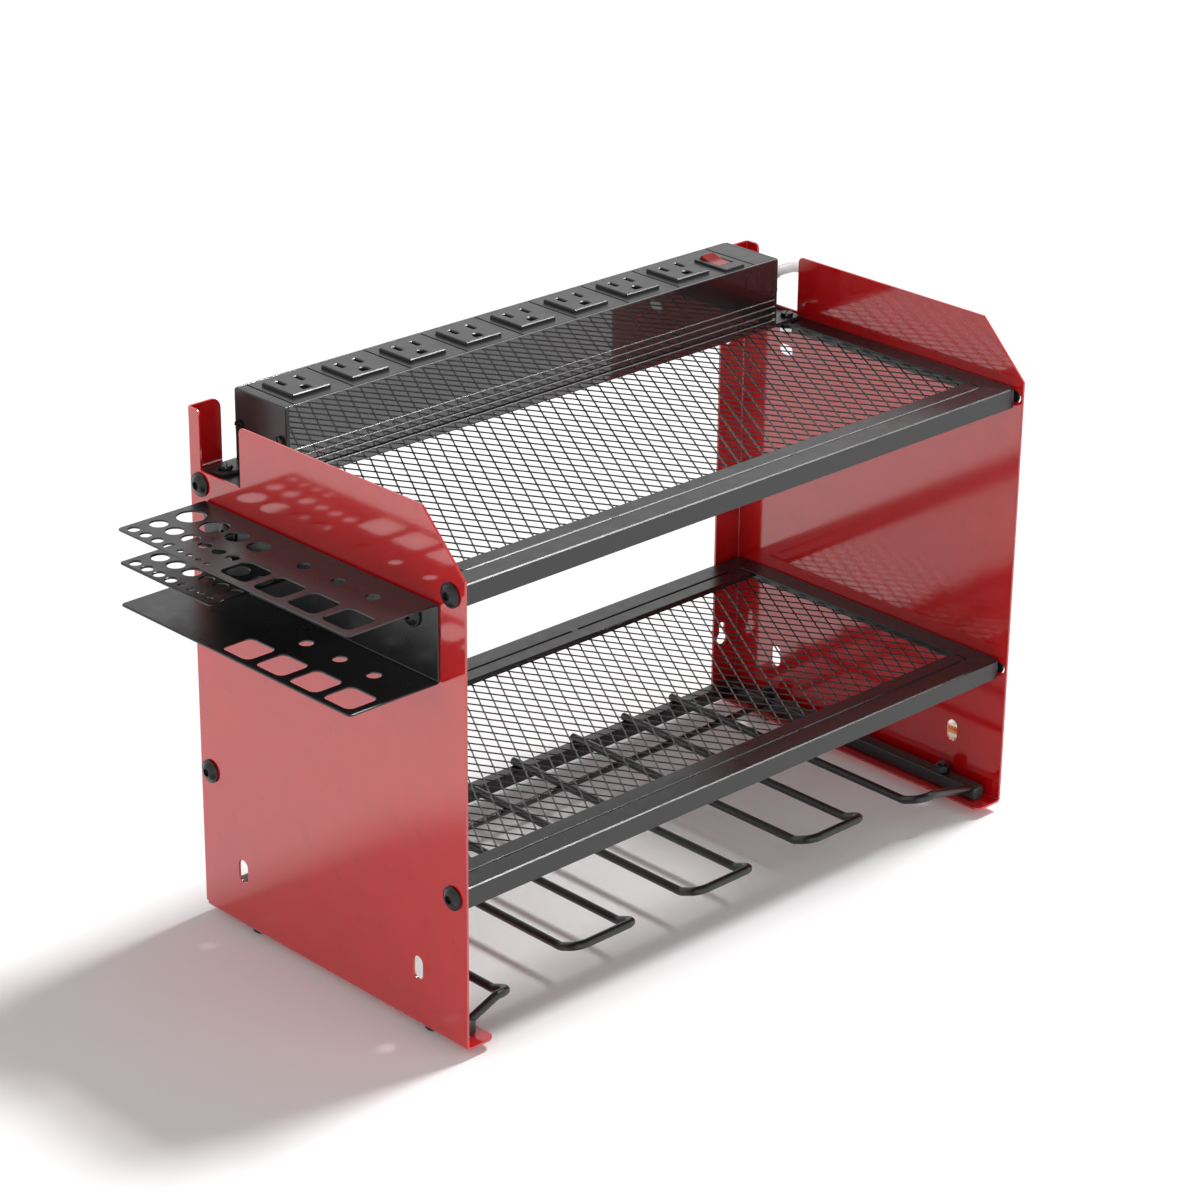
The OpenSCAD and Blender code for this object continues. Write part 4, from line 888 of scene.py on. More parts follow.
@dataclass
class SidePanel:
    """A bent red side panel with its back flange and its bottom flange."""

    side: Side
    bend: float = 2.5
    foot: float = 20.0
    back: float = 22.0
    relief: float = 0.6
    bend_steps: int = 7
    guard_run: float = 32.0
    guard_back: float = 176.0
    post: float = 209.5
    notch_z: float = 263.0
    front_r: float = 1.2
    corner_r: float = 3.2
    foot_r: float = 5.0
    flange_r: float = 6.0
    shelf_slot: Point = (12.3, SCREW_HOLE)
    holder_slot: Point = (11.0, 6.5)
    low_slot: Point = (7.5, 13.5)
    low_slot_z: float = 34.0
    rack_hole: float = 5.5
    keyhole_zs: Point = (38.5, 238.5)
    keyhole_in: float = 14.6
    keyhole_head: float = 8.5
    keyhole_shank: float = 4.6
    keyhole_rise: float = 9.2

    def pattern(self) -> list[Point]:
        """The outline of the flat sheet, Y to the right and Z up.

        Returns:
            The loop of the outline.
        """
        low = self.bend - quarter(self.bend) - (self.foot - self.bend)
        far = BODY_D - self.bend + quarter(self.bend) + (self.back - self.bend)
        corner = BODY_D - self.bend - self.relief
        lift = self.bend + self.relief
        return outline([
            (0, low, self.foot_r), (corner, low, 1), (corner, lift, 0.4), (far, lift, 1),
            (far, TOP_H, self.flange_r), (self.post, TOP_H, self.corner_r), (self.post, self.notch_z, 0.6),
            (self.guard_back, self.notch_z, 0.6), (self.guard_back, TOP_H, self.corner_r),
            (self.guard_run, TOP_H, self.front_r), (0, FRONT_H, self.front_r),
        ], 6)

    def holes(self) -> list[list[Point]]:
        """The holes of the flat sheet.

        Returns:
            Their loops.
        """
        loops = []
        front, back = SHELF_SCREW_YS
        for top in SHELF_TOPS:
            z = top - SHELF_H / 2
            loops.append(circle(back, z, SCREW_HOLE))
            if self.side is Side.LEFT:
                loops.append(circle(front, z, SCREW_HOLE))
            else:
                middle = front + (self.shelf_slot[1] - self.shelf_slot[0]) / 2
                loops.append(long_hole(middle, z, self.shelf_slot))
        for y in SLOT_YS:
            loops.append(long_hole(y, SLOT_Z, self.holder_slot))
            loops.append(long_hole(y, self.low_slot_z, self.low_slot))
        loops += [self.keyhole(z) for z in self.keyhole_zs]
        rack_z = self.bend - quarter(self.bend) - (RACK_BOLT_X - self.bend)
        return loops + [circle(y, rack_z, self.rack_hole) for y in RACK_BOLT_YS]

    def keyhole(self, z: float) -> list[Point]:
        """A keyhole in the back flange.

        Args:
            z: Height of its wide part.

        Returns:
            Its loop.
        """
        y = BODY_D - self.bend + quarter(self.bend) + self.keyhole_in - self.bend
        head, shank = self.keyhole_head / 2, self.keyhole_shank / 2
        lift = math.degrees(math.asin(math.sqrt(head**2 - shank**2) / head))
        loop = arc((y, z), head, 180 - lift, 360 + lift, 28)
        return loop + arc((y, z + self.keyhole_rise), shank, 0, 180, 12)

    def bent(self, y: float, z: float, depth: float) -> Vector:
        """Bends a point of the flat sheet into its flange.

        Args:
            y: Place along Y.
            z: Place along Z.
            depth: Depth below the outer face.

        Returns:
            The point in space.
        """
        r = self.bend
        if z < r:
            inward, drop = bend_over(r - z, depth, r)
            return Vector((inward, y, r - drop))
        inward, run = bend_over(y - BODY_D + r, depth, r)
        return Vector((inward, BODY_D - r + run, z))

    def build(self) -> bpy.types.Object:
        """Makes the panel.

        Returns:
            The panel.
        """
        stops = [quarter(self.bend) * k / self.bend_steps for k in range(self.bend_steps + 1)]
        form = Form().slab(self.pattern(), self.holes(), 0, PANEL_T, edge=0.35)
        form.split(1, [self.bend - s for s in stops]).split(0, [BODY_D - self.bend + s for s in stops])
        form.move(self.bent)
        if self.side is Side.RIGHT:
            form.mirror()
        name = "holder_side_panel" if self.side is Side.LEFT else "cord_side_panel"
        return finish_piece(form.to_mesh(f"{self.side.value}_panel_sheet"), RED_COAT, [name])


# Shelves


@dataclass
class Shelf:
    """A mesh shelf: an angle frame, a clamp frame welded under it and the mesh between them."""

    name: str
    top: float
    low: Point = (1.5, 4.5)
    high: Point = (423.5, 217.5)
    leg: float = 13.5
    t: float = SHEET_T
    corner: float = 4.0
    clamp: float = 2.0
    band: float = 25.0
    side_band: float = 13.3
    notch: Point = (7.6, 12.5)
    gap: float = 0.8
    lip: Point = (1.0, 0.56)
    strip_bevel: Point = (0.8, 0.44)
    welds: tuple[float, ...] = (16.0, 121.0, 255.0, 408.0)
    weld_l: float = 5.5

    def loop(self, inset_x: float, inset_y: float, radius: float, steps: int = 2) -> list[Point]:
        """A rounded rectangle at two distances from the shelf's edges."""
        x, y = (self.low[0] + self.high[0]) / 2, (self.low[1] + self.high[1]) / 2
        w, d = self.high[0] - self.low[0] - 2 * inset_x, self.high[1] - self.low[1] - 2 * inset_y
        return rounded(x, y, w, d, radius, steps)

    def angle_frame(self) -> bpy.types.Object:
        """Sweeps the angle section round the shelf."""
        section = fillet([
            (0, -SHELF_H, 0.3), (self.t, -SHELF_H, 0.3), (self.t, -self.t, 0.5), (self.leg, -self.t, 0.3),
            (self.leg, 0, 0.5), (self.lip[0], 0, 0.3), (0, -self.lip[1], 0.3),
        ], 3)
        rows = []
        for inset, z, _ in section:
            ring = self.loop(inset, inset, max(self.corner - inset, 2.0), 6)
            rows.append([Vector((x, y, self.top + z)) for x, y in ring])
        form = Form().skin(rows, [rank for _, _, rank in section], ring=True)
        return finish_piece(form.to_mesh(f"{self.name}_angle"), BLACK_COAT, [f"{self.name}_shelf_frame"])

    def clamp_outline(self) -> list[Point]:
        """The clamp frame's outline, whose corners leave room for the rivet nuts.

        Returns:
            The loop.
        """
        inset, soft = self.t + 0.3, 0.3
        x0, y0 = self.low[0] + inset, self.low[1] + inset
        x1, y1 = self.high[0] - inset, self.high[1] - inset
        nx, ny = self.notch[0] - inset, self.notch[1] - inset
        corners = [
            (x0, y0 + ny), (x0 + nx, y0 + ny), (x0 + nx, y0),
            (x1 - nx, y0), (x1 - nx, y0 + ny), (x1, y0 + ny),
            (x1, y1 - ny), (x1 - nx, y1 - ny), (x1 - nx, y1),
            (x0 + nx, y1), (x0 + nx, y1 - ny), (x0, y1 - ny),
        ]
        return outline([(x, y, soft) for x, y in corners], 2)

    def clamp_frame(self) -> bpy.types.Object:
        """Makes the clamp frame, the flush strips on it and their weld beads."""
        under, low = self.top - self.t, self.top - self.t - self.clamp
        hole = self.loop(self.side_band, self.band, 0.6)
        form = Form().slab(self.clamp_outline(), [hole], low, under, edge=0.2)
        x, y = (self.low[0] + self.high[0]) / 2, (self.low[1] + self.high[1]) / 2
        half = (self.high[1] - self.low[1]) / 2
        rim = self.leg + self.gap
        reach = self.band - rim + 0.2
        for side in (-1, 1):
            middle = y + side * (half - rim - reach / 2)
            strip = rounded(x, middle, self.high[0] - self.low[0] - 2 * rim, reach, 1.3, 5)
            form.slab(strip, [], low + 0.4, self.top - 0.02, low_edge=0.02, bevel=self.strip_bevel)
            groove = y + side * (half - self.leg - self.gap / 2)
            for weld in self.welds:
                bead = rounded(weld, groove, self.weld_l, self.gap + 1.6, 1.1, 3)
                form.slab(bead, [], under, self.top - 0.04, edge=0.45, low_edge=0.02)
        return finish_piece(form.to_mesh(f"{self.name}_clamp"), BLACK_COAT, [f"{self.name}_clamp_frame"])


@dataclass
class MeshSheet:
    """Expanded metal: two families of strands that share their knots."""

    shelf: Shelf
    knot: Point = (4.4, 7.2)
    pitch: float = 9.45
    right: float = 0.611
    left: float = 0.585
    strand: float = 0.85
    thick: float = 0.78
    tilt: float = 19.0
    chamfer: float = 0.22
    overlap: float = 0.3
    bond: float = 2.6
    sheet: float = SHEET_T
    trees: dict[str, GeometryTree] = field(default_factory=dict)

    def row(self) -> float:
        """Distance of two rows of knots."""
        return self.pitch / (self.right + self.left)

    def strand_form(self, lean: float, tilt: float) -> Form:
        """One strand from its knot to the knot in the next row.

        Args:
            lean: Run along X for each step along Y.
            tilt: Turn about the strand's own line, in degrees.

        Returns:
            The strand about the knot.
        """
        start, end = Vector((0, 0, 0)), Vector((lean * self.row(), self.row(), 0))
        along = (end - start).normalized()
        a = math.radians(tilt)
        across = along.cross(Vector((0, 0, 1))).normalized()
        wide = across * math.cos(a) + Vector((0, 0, 1)) * math.sin(a)
        up = wide.cross(along)
        section = rounded(0, 0, self.strand, self.thick, self.chamfer, 1)
        rows = [
            [point + wide * x + up * y for x, y in section]
            for point in (start - along * self.overlap, end + along * self.overlap)
        ]
        return Form().skin(rows, ends=True)

    def knot_form(self) -> Form:
        """The short bond where two strands meet, along the long way of the cells."""
        bond = rounded(0, 0, 1.5 * self.strand, self.bond, 0.4, 2)
        return Form().slab(bond, [], -self.thick / 2, self.thick / 2, edge=0.15, steps=1)

    def tree(self) -> GeometryTree:
        """The tree that lays the strands on the rows and columns of knots.

        Returns:
            The tree.
        """
        kit = GeometryTree("expanded_mesh", [
            ("Right", "NodeSocketObject"), ("Left", "NodeSocketObject"), ("Knot", "NodeSocketObject"),
            ("Finish", "NodeSocketMaterial"),
            ("Columns", "NodeSocketInt"), ("Rows", "NodeSocketInt"), ("Pitch", "NodeSocketFloat"),
            ("Row", "NodeSocketFloat"), ("Lean", "NodeSocketFloat"), ("Corner", "NodeSocketVector"),
        ])
        ins = kit.source
        count = kit.math("MULTIPLY", ins["Columns"], ins["Rows"])
        line = kit.node("GeometryNodeMeshLine", {"Count": count})
        index = kit.node("GeometryNodeInputIndex").outputs[0]
        row = kit.math("FLOOR", kit.math("DIVIDE", index, ins["Columns"]))
        column = kit.math("SUBTRACT", index, kit.math("MULTIPLY", row, ins["Columns"]))
        drift = kit.math("MULTIPLY", row, kit.math("MULTIPLY", ins["Lean"], ins["Row"]))
        wrapped = kit.math("MODULO", drift, ins["Pitch"])
        x = kit.math("ADD", kit.math("MULTIPLY", column, ins["Pitch"]), wrapped)
        y = kit.math("MULTIPLY", row, ins["Row"])
        spot = kit.node("ShaderNodeCombineXYZ", {"X": x, "Y": y}).outputs[0]
        moved = kit.node("ShaderNodeVectorMath", {"0": spot, "1": ins["Corner"]}, operation="ADD")
        laid = {"Geometry": line.outputs[0], "Position": moved.outputs[0]}
        knots = kit.node("GeometryNodeSetPosition", laid).outputs[0]
        join = kit.node("GeometryNodeJoinGeometry")
        for label in ("Left", "Right", "Knot"):
            shape = kit.node("GeometryNodeObjectInfo", {"Object": ins[label]}).outputs["Geometry"]
            copies = kit.node("GeometryNodeInstanceOnPoints", {"Points": knots, "Instance": shape})
            kit.feed(join.inputs[0], copies.outputs[0])
        kit.end(join.outputs[0])
        return kit

    def build(self) -> bpy.types.Object:
        """Bakes the strands and trims them to the sheet.

        Returns:
            The mesh sheet.
        """
        if "mesh" not in self.trees:
            self.trees["mesh"] = self.tree()
        shapes = {}
        for label, lean, tilt in (("Right", self.right, self.tilt), ("Left", -self.left, -self.tilt)):
            mesh = self.strand_form(lean, tilt).to_mesh("strand_" + label, scale=False)
            shapes[label] = linked("strand_" + label, mesh)
        shapes["Knot"] = linked("knot", self.knot_form().to_mesh("knot", scale=False))
        inset = self.shelf.t + 0.4
        low = Vector((self.shelf.low[0] + inset, self.shelf.low[1] + inset))
        high = Vector((self.shelf.high[0] - inset, self.shelf.high[1] - inset))
        z = self.shelf.top - self.shelf.t - self.shelf.clamp - self.sheet / 2
        below = math.ceil((self.knot[1] - low.y) / self.row()) + 1
        x = self.knot[0] - below * self.row() * self.right
        x -= self.pitch * (math.ceil((x - low.x) / self.pitch) + 2)
        corner = Vector((x, self.knot[1] - below * self.row(), z))
        values = {
            **shapes, "Pitch": self.pitch * MM, "Row": self.row() * MM, "Lean": self.right,
            "Corner": tuple(to_part(corner)), "Columns": math.ceil((high.x - low.x) / self.pitch) + 5,
            "Rows": math.ceil((high.y - low.y) / self.row()) + 4,
        }
        start = bpy.data.meshes.new("start")
        mesh = self.trees["mesh"].bake(f"{self.shelf.name}_mesh_sheet", start, values, BLACK_MESH)
        for shape in shapes.values():
            bpy.data.objects.remove(shape)
        self.trim(mesh, to_part(Vector((low.x, low.y, 0))), to_part(Vector((high.x, high.y, 0))))
        node = f"{self.shelf.name}_shelf_mesh"
        return finish_piece(mesh, BLACK_MESH, [node], slot="black_powder_coat")

    def trim(self, mesh: bpy.types.Mesh, low: Vector, high: Vector) -> None:
        """Cuts the strands off at the edge of the sheet and closes their ends.

        Args:
            mesh: The baked strands.
            low: Lower corner of the sheet.
            high: Upper corner of the sheet.
        """
        work = bmesh.new()
        work.from_mesh(mesh)
        for point, normal in ((low, (-1, 0, 0)), (low, (0, -1, 0)), (high, (1, 0, 0)), (high, (0, 1, 0))):
            everything = work.verts[:] + work.edges[:] + work.faces[:]
            cut = bmesh.ops.bisect_plane(
                work, geom=everything, dist=1e-7, plane_co=point, plane_no=normal, clear_outer=True
            )
            edges = [item for item in cut["geom_cut"] if isinstance(item, bmesh.types.BMEdge)]
            bmesh.ops.holes_fill(work, edges=edges, sides=0)
        work.to_mesh(mesh)
        work.free()


# Fasteners


@dataclass
class Fasteners:
    """Screws, bolts and nuts, each drawn once and set on its seats."""

    copies: Copies
    head_d: float = 11.5
    collar_d: float = 13.5
    collar_t: float = 1.2
    head_h: float = 4.0
    socket: float = 4.0
    bolt_af: float = 8.0
    cap_screw: Point = (4.8, 23.0)
    ear_x: float = 12.0
    shelf_stack: float = 4.4
    ear_nut_h: float = 3.0

    def button_screw(self, shank: float) -> Form:
        """A button screw with a collar and a hex socket.

        Args:
            shank: Length of the shank under the collar.

        Returns:
            The screw, its head towards plus Z.
        """
        rise = self.head_h - self.collar_t
        r = (self.head_d**2 / 4 + rise**2) / (2 * rise)
        c, h = self.collar_d / 2, self.collar_t
        profile = [
            (0, -shank), (2.6, -shank), (3, -shank + 0.4), (3, 0), (c - 0.3, 0), (c, 0.3), (c, h - 0.35),
            (c - 0.1, h - 0.1), (c - 0.35, h), (self.head_d / 2 + 0.15, h), (self.head_d / 2, h + 0.2),
        ]
        wide = math.asin(self.head_d / 2 / r)
        tight = math.asin(2.85 / r)
        for k in range(1, 9):
            a = wide + (tight - wide) * k / 8
            profile.append((r * math.sin(a), self.head_h - r + r * math.cos(a) - 0.02))
        top = profile[-1][1]
        mouth = len(profile)
        profile += [(2.4, top + 0.02), (2.3, top - 0.25), (2.3, self.head_h - 2.2), (0, self.head_h - 2.5)]
        hexes = {mouth: 1.06 * self.socket, mouth + 1: self.socket, mouth + 2: self.socket}
        return Form().lathe(profile, hexes)

    def hex_bolt(self, shank: float) -> Form:
        """A flanged hex bolt, its head towards plus Z.

        Args:
            shank: Length of the shank under the flange.

        Returns:
            The bolt.
        """
        profile = [
            (0, -shank), (2.2, -shank), (2.5, -shank + 0.3), (2.5, 0), (5.6, 0), (5.9, 0.3), (5.9, 0.8),
            (5.5, 1.15), (4.7, 1.25), (4.6, 1.3), (4.6, 5.0), (4.0, 5.4), (0, 5.4),
        ]
        return Form().lathe(profile, {9: self.bolt_af, 10: self.bolt_af})

    def nut(self, af: float, h: float, bore: float) -> Form:
        """A hex nut on z = 0.

        Args:
            af: Width across its flats.
            h: Its height.
            bore: Diameter of its bore.

        Returns:
            The nut.
        """
        profile = [
            (bore / 2, 0.3), (bore / 2 + 0.3, 0), (af / 2 * 0.95, 0), (1, 0.35), (1, h - 0.35),
            (af / 2 * 0.95, h), (bore / 2 + 0.3, h), (bore / 2, h - 0.3), (bore / 2, 0.3),
        ]
        return Form().lathe(profile, {3: af, 4: af})

    def pan_screw(self, d: float, h: float, shank: float, shank_d: float, slot_w: float) -> Form:
        """A pan-head screw with a straight slot.

        Args:
            d: Diameter of the head.
            h: Height of the head.
            shank: Length of the shank.
            shank_d: Diameter of the shank.
            slot_w: Width of the slot.

        Returns:
            The screw, its head towards plus Z.
        """
        r = d / 2
        lift = math.degrees(math.asin(slot_w / 2 / r))
        head = arc((0, 0), r * 0.99, lift, 180 - lift, 12)
        form = Form().lathe([
            (0, -shank), (shank_d / 2, -shank), (shank_d / 2, 0), (r - 0.2, 0), (r, 0.2),
            (r, h * 0.52), (0, h * 0.52),
        ])
        for sign in (1, -1):
            half_head = [(x * sign, y * sign) for x, y in head]
            form.slab(half_head, [], h * 0.3, h, edge=0.3, low_edge=0.02)
        return form

    def panel_screws(self) -> None:
        """The four button screws on each side panel."""
        for side, x, turn in ((Side.LEFT, 0.0, HEAD_LEFT), (Side.RIGHT, BODY_W, HEAD_RIGHT)):
            seats = [(Vector((x, y, top - SHELF_H / 2)), turn) for top in SHELF_TOPS for y in SHELF_SCREW_YS]
            name, nodes = f"{side.value}_button_screws", [f"shelf_screws_{side.value}"]
            self.copies.place(name, self.button_screw(8.0), seats, BLACK_SCREW, nodes, spin=1.0, seed=5)

    def holder_screws(self) -> None:
        """The two screws of the bit holder and their nuts; the second also holds the middle shelf."""
        seats = [(Vector((-SHEET_T * n, y, SLOT_Z)), HEAD_LEFT) for n, y in zip((1, 2), SLOT_YS)]
        screw, nodes = self.button_screw(9.2), ["bit_holder_screws"]
        self.copies.place("holder_button_screws", screw, seats, BLACK_SCREW, nodes, spin=1.0, seed=9)
        nuts = [(Vector((PANEL_T, y, SLOT_Z)), HEAD_RIGHT) for y in SLOT_YS]
        nut = self.nut(10, 5, 6.2)
        self.copies.place("holder_nuts", nut, nuts, BLACK_SCREW, ["bit_holder_nuts"], spin=1.0, seed=2)

    def rack_bolts(self) -> None:
        """The four rack bolts, whose heads are the feet, and their nuts."""
        spots = [(x, y) for x in (RACK_BOLT_X, BODY_W - RACK_BOLT_X) for y in RACK_BOLT_YS]
        bolts = [(Vector((x, y, 0)), HEAD_DOWN) for x, y in spots]
        self.copies.place("rack_hex_bolts", self.hex_bolt(16), bolts, BLACK_SCREW, ["rack_bolts"])
        nuts = [(Vector((x, y, RAIL_TOP)), HEAD_UP) for x, y in spots]
        nut = self.nut(8, 4.5, 5.2)
        self.copies.place("rack_hex_nuts", nut, nuts, BLACK_SCREW, ["rack_nuts"], spin=1.0, seed=4)

    def strip_screws(self) -> None:
        """The screws of the end caps and of the ears, with their nuts."""
        ends = []
        edge, height = self.cap_screw
        for y in (edge, STRIP_W - edge):
            ends.append((STRIP + Vector((0, y, height)), HEAD_LEFT))
            ends.append((STRIP + Vector((STRIP_L, y, height)), HEAD_RIGHT))
        screw = self.pan_screw(6, 2, 14, 3, 0.8)
        self.copies.place("end_cap_screws", screw, ends, BLACK_SCREW, ["strip_end_screws"], spin=2.0, seed=8)
        spots = [(x, STRIP.y + y) for x in (self.ear_x, BODY_W - self.ear_x) for y in EAR_YS]
        ears = [(Vector((x, y, SHELF_TOPS[0] + EAR_T)), HEAD_UP) for x, y in spots]
        screw = self.pan_screw(7.4, 2.2, 11, 4, 1.0)
        self.copies.place("ear_screws", screw, ears, BLACK_SCREW, ["strip_mount_screws"], spin=2.0, seed=6)
        under = SHELF_TOPS[0] - self.shelf_stack - self.ear_nut_h
        nuts = [(Vector((x, y, under)), HEAD_UP) for x, y in spots]
        nut = self.nut(7, self.ear_nut_h, 4.2)
        self.copies.place("ear_nuts", nut, nuts, ZINC, ["strip_mount_nuts"], spin=1.0, seed=1)


# Bit holder


@dataclass
class BitHolder:
    """The bit and driver holder on the left panel: a bent channel and a small middle shelf."""

    front: float = 19.0
    back: float = 205.0
    low: float = 204.2
    top: float = 248.0
    reach: float = 59.0
    t: float = SHEET_T
    bend: float = 2.0
    middle_top: float = 229.0
    middle_l: float = 76.0
    middle_bend: float = 1.8
    flange: float = 16.0
    bend_steps: int = 6
    bevel: Point = (0.45, 0.25)
    square_hole: Point = (19.5, 21.5)
    square_pitch: float = 26.6

    def bit_loops(self) -> list[list[Point]]:
        """Holes for bits, sockets and drills, as reach and place along the holder.

        Returns:
            Their loops.
        """
        rows = [
            (53.0, 6.5, 6.9, 10.0, 4), (53.0, 3.5, 46.0, 7.6, 4), (38.8, 10.0, 9.4, 13.4, 3),
            (38.8, 7.8, 48.5, 11.4, 3), (20.2, 16.0, 12.9, 19.6, 2), (20.2, 12.7, 51.0, 17.8, 2),
        ]
        return [
            circle(reach, self.back - first - i * pitch, d, 32 if d > 5 else 24)
            for reach, d, first, pitch, count in rows for i in range(count)
        ]

    def tool_loops(self) -> list[list[Point]]:
        """The square holes for handles and the round ones beside them.

        Returns:
            Their loops.
        """
        squares = [rounded(45.2, 35.1 + self.square_pitch * i, *self.square_hole, 4, 6) for i in range(4)]
        return squares + [circle(19.0, 47.6 + self.square_pitch * i, 7.8, 32) for i in range(3)]

    def unrolled(self, loops: Sequence[Sequence[Point]], upper: bool) -> list[list[Point]]:
        """Puts holes given by their reach on the flat channel.

        Args:
            loops: Loops in reach and place.
            upper: Whether they lie in the upper shelf.

        Returns:
            Loops in run and place.
        """
        length = self.run()
        if upper:
            return [[(self.reach - u, y) for u, y in loop] for loop in loops]
        return [[(length - self.reach + u, y) for u, y in loop] for loop in loops]

    def run(self) -> float:
        """Length of the flat channel from lip to lip."""
        return 2 * (self.reach - self.bend) + 2 * quarter(self.bend) + self.top - self.low - 2 * self.bend

    def bent(self, run: float, y: float, depth: float) -> Vector:
        """Bends the flat channel into its three walls.

        Args:
            run: Run from the upper lip.
            y: Place along the holder.
            depth: Depth below the outer face.

        Returns:
            The point in space.
        """
        r = self.bend
        along = run - self.run() / 2
        wall = (self.top - self.low) / 2 - r
        inward, rise = bend_over(abs(along) - wall, depth, r)
        return Vector((-inward, y, (self.top + self.low) / 2 - math.copysign(wall + rise, along)))

    def channel(self) -> bpy.types.Object:
        """Bends the channel with all its holes."""
        length = self.run()
        outer = outline([
            (0, self.front, 2.5), (length, self.front, 2.5), (length, self.back, 2.5), (0, self.back, 2.5),
        ])
        holes = self.unrolled(self.bit_loops() + self.tool_loops(), True)
        holes += self.unrolled(self.tool_loops(), False)
        screw_at = length / 2 + (self.top + self.low) / 2 - SLOT_Z
        holes += [circle(screw_at, y, SCREW_HOLE) for y in SLOT_YS]
        form = Form().slab(outer, holes, 0, self.t, low_edge=0.3, bevel=self.bevel)
        steps = [self.reach - self.bend + s for s in self.stops(self.bend)]
        form.split(0, steps + [length - s for s in steps]).move(self.bent)
        return finish_piece(form.to_mesh("bit_holder_sheet"), BLACK_COAT, ["bit_holder_channel"])

    def stops(self, radius: float) -> list[float]:
        """Places of the cuts in a bend, from its start."""
        return [quarter(radius) * k / self.bend_steps for k in range(self.bend_steps + 1)]

    def middle_shelf(self) -> bpy.types.Object:
        """Bends the small shelf with its upright flange."""
        r, t = self.middle_bend, self.t
        start, reach = self.back - self.middle_l, self.reach - 0.5
        upright = self.flange - r
        turn_end = upright + quarter(r)
        length = turn_end + reach - t - r

        def bend_up(run: float, y: float, depth: float) -> Vector:
            """Bends the flat angle; depth is measured from its outer face."""
            inward, drop = bend_over(run - upright, depth, r)
            return Vector((-t - inward, y, self.middle_top - t + r - drop))

        outer = outline([(0, start, 1.5), (length, start, 2), (length, self.back, 2), (0, self.back, 1.5)])
        holes = [[(turn_end + u - t - r, y) for u, y in loop] for loop in self.bit_loops()]
        holes.append(circle(self.middle_top - t + self.flange - SLOT_Z, SLOT_YS[1], SCREW_HOLE))
        form = Form().slab(outer, holes, 0, t, low_edge=0.3, bevel=self.bevel)
        form.split(0, [upright + s for s in self.stops(r)]).move(bend_up)
        return finish_piece(form.to_mesh("middle_shelf_sheet"), BLACK_COAT, ["bit_holder_middle_shelf"])


# Hook rack


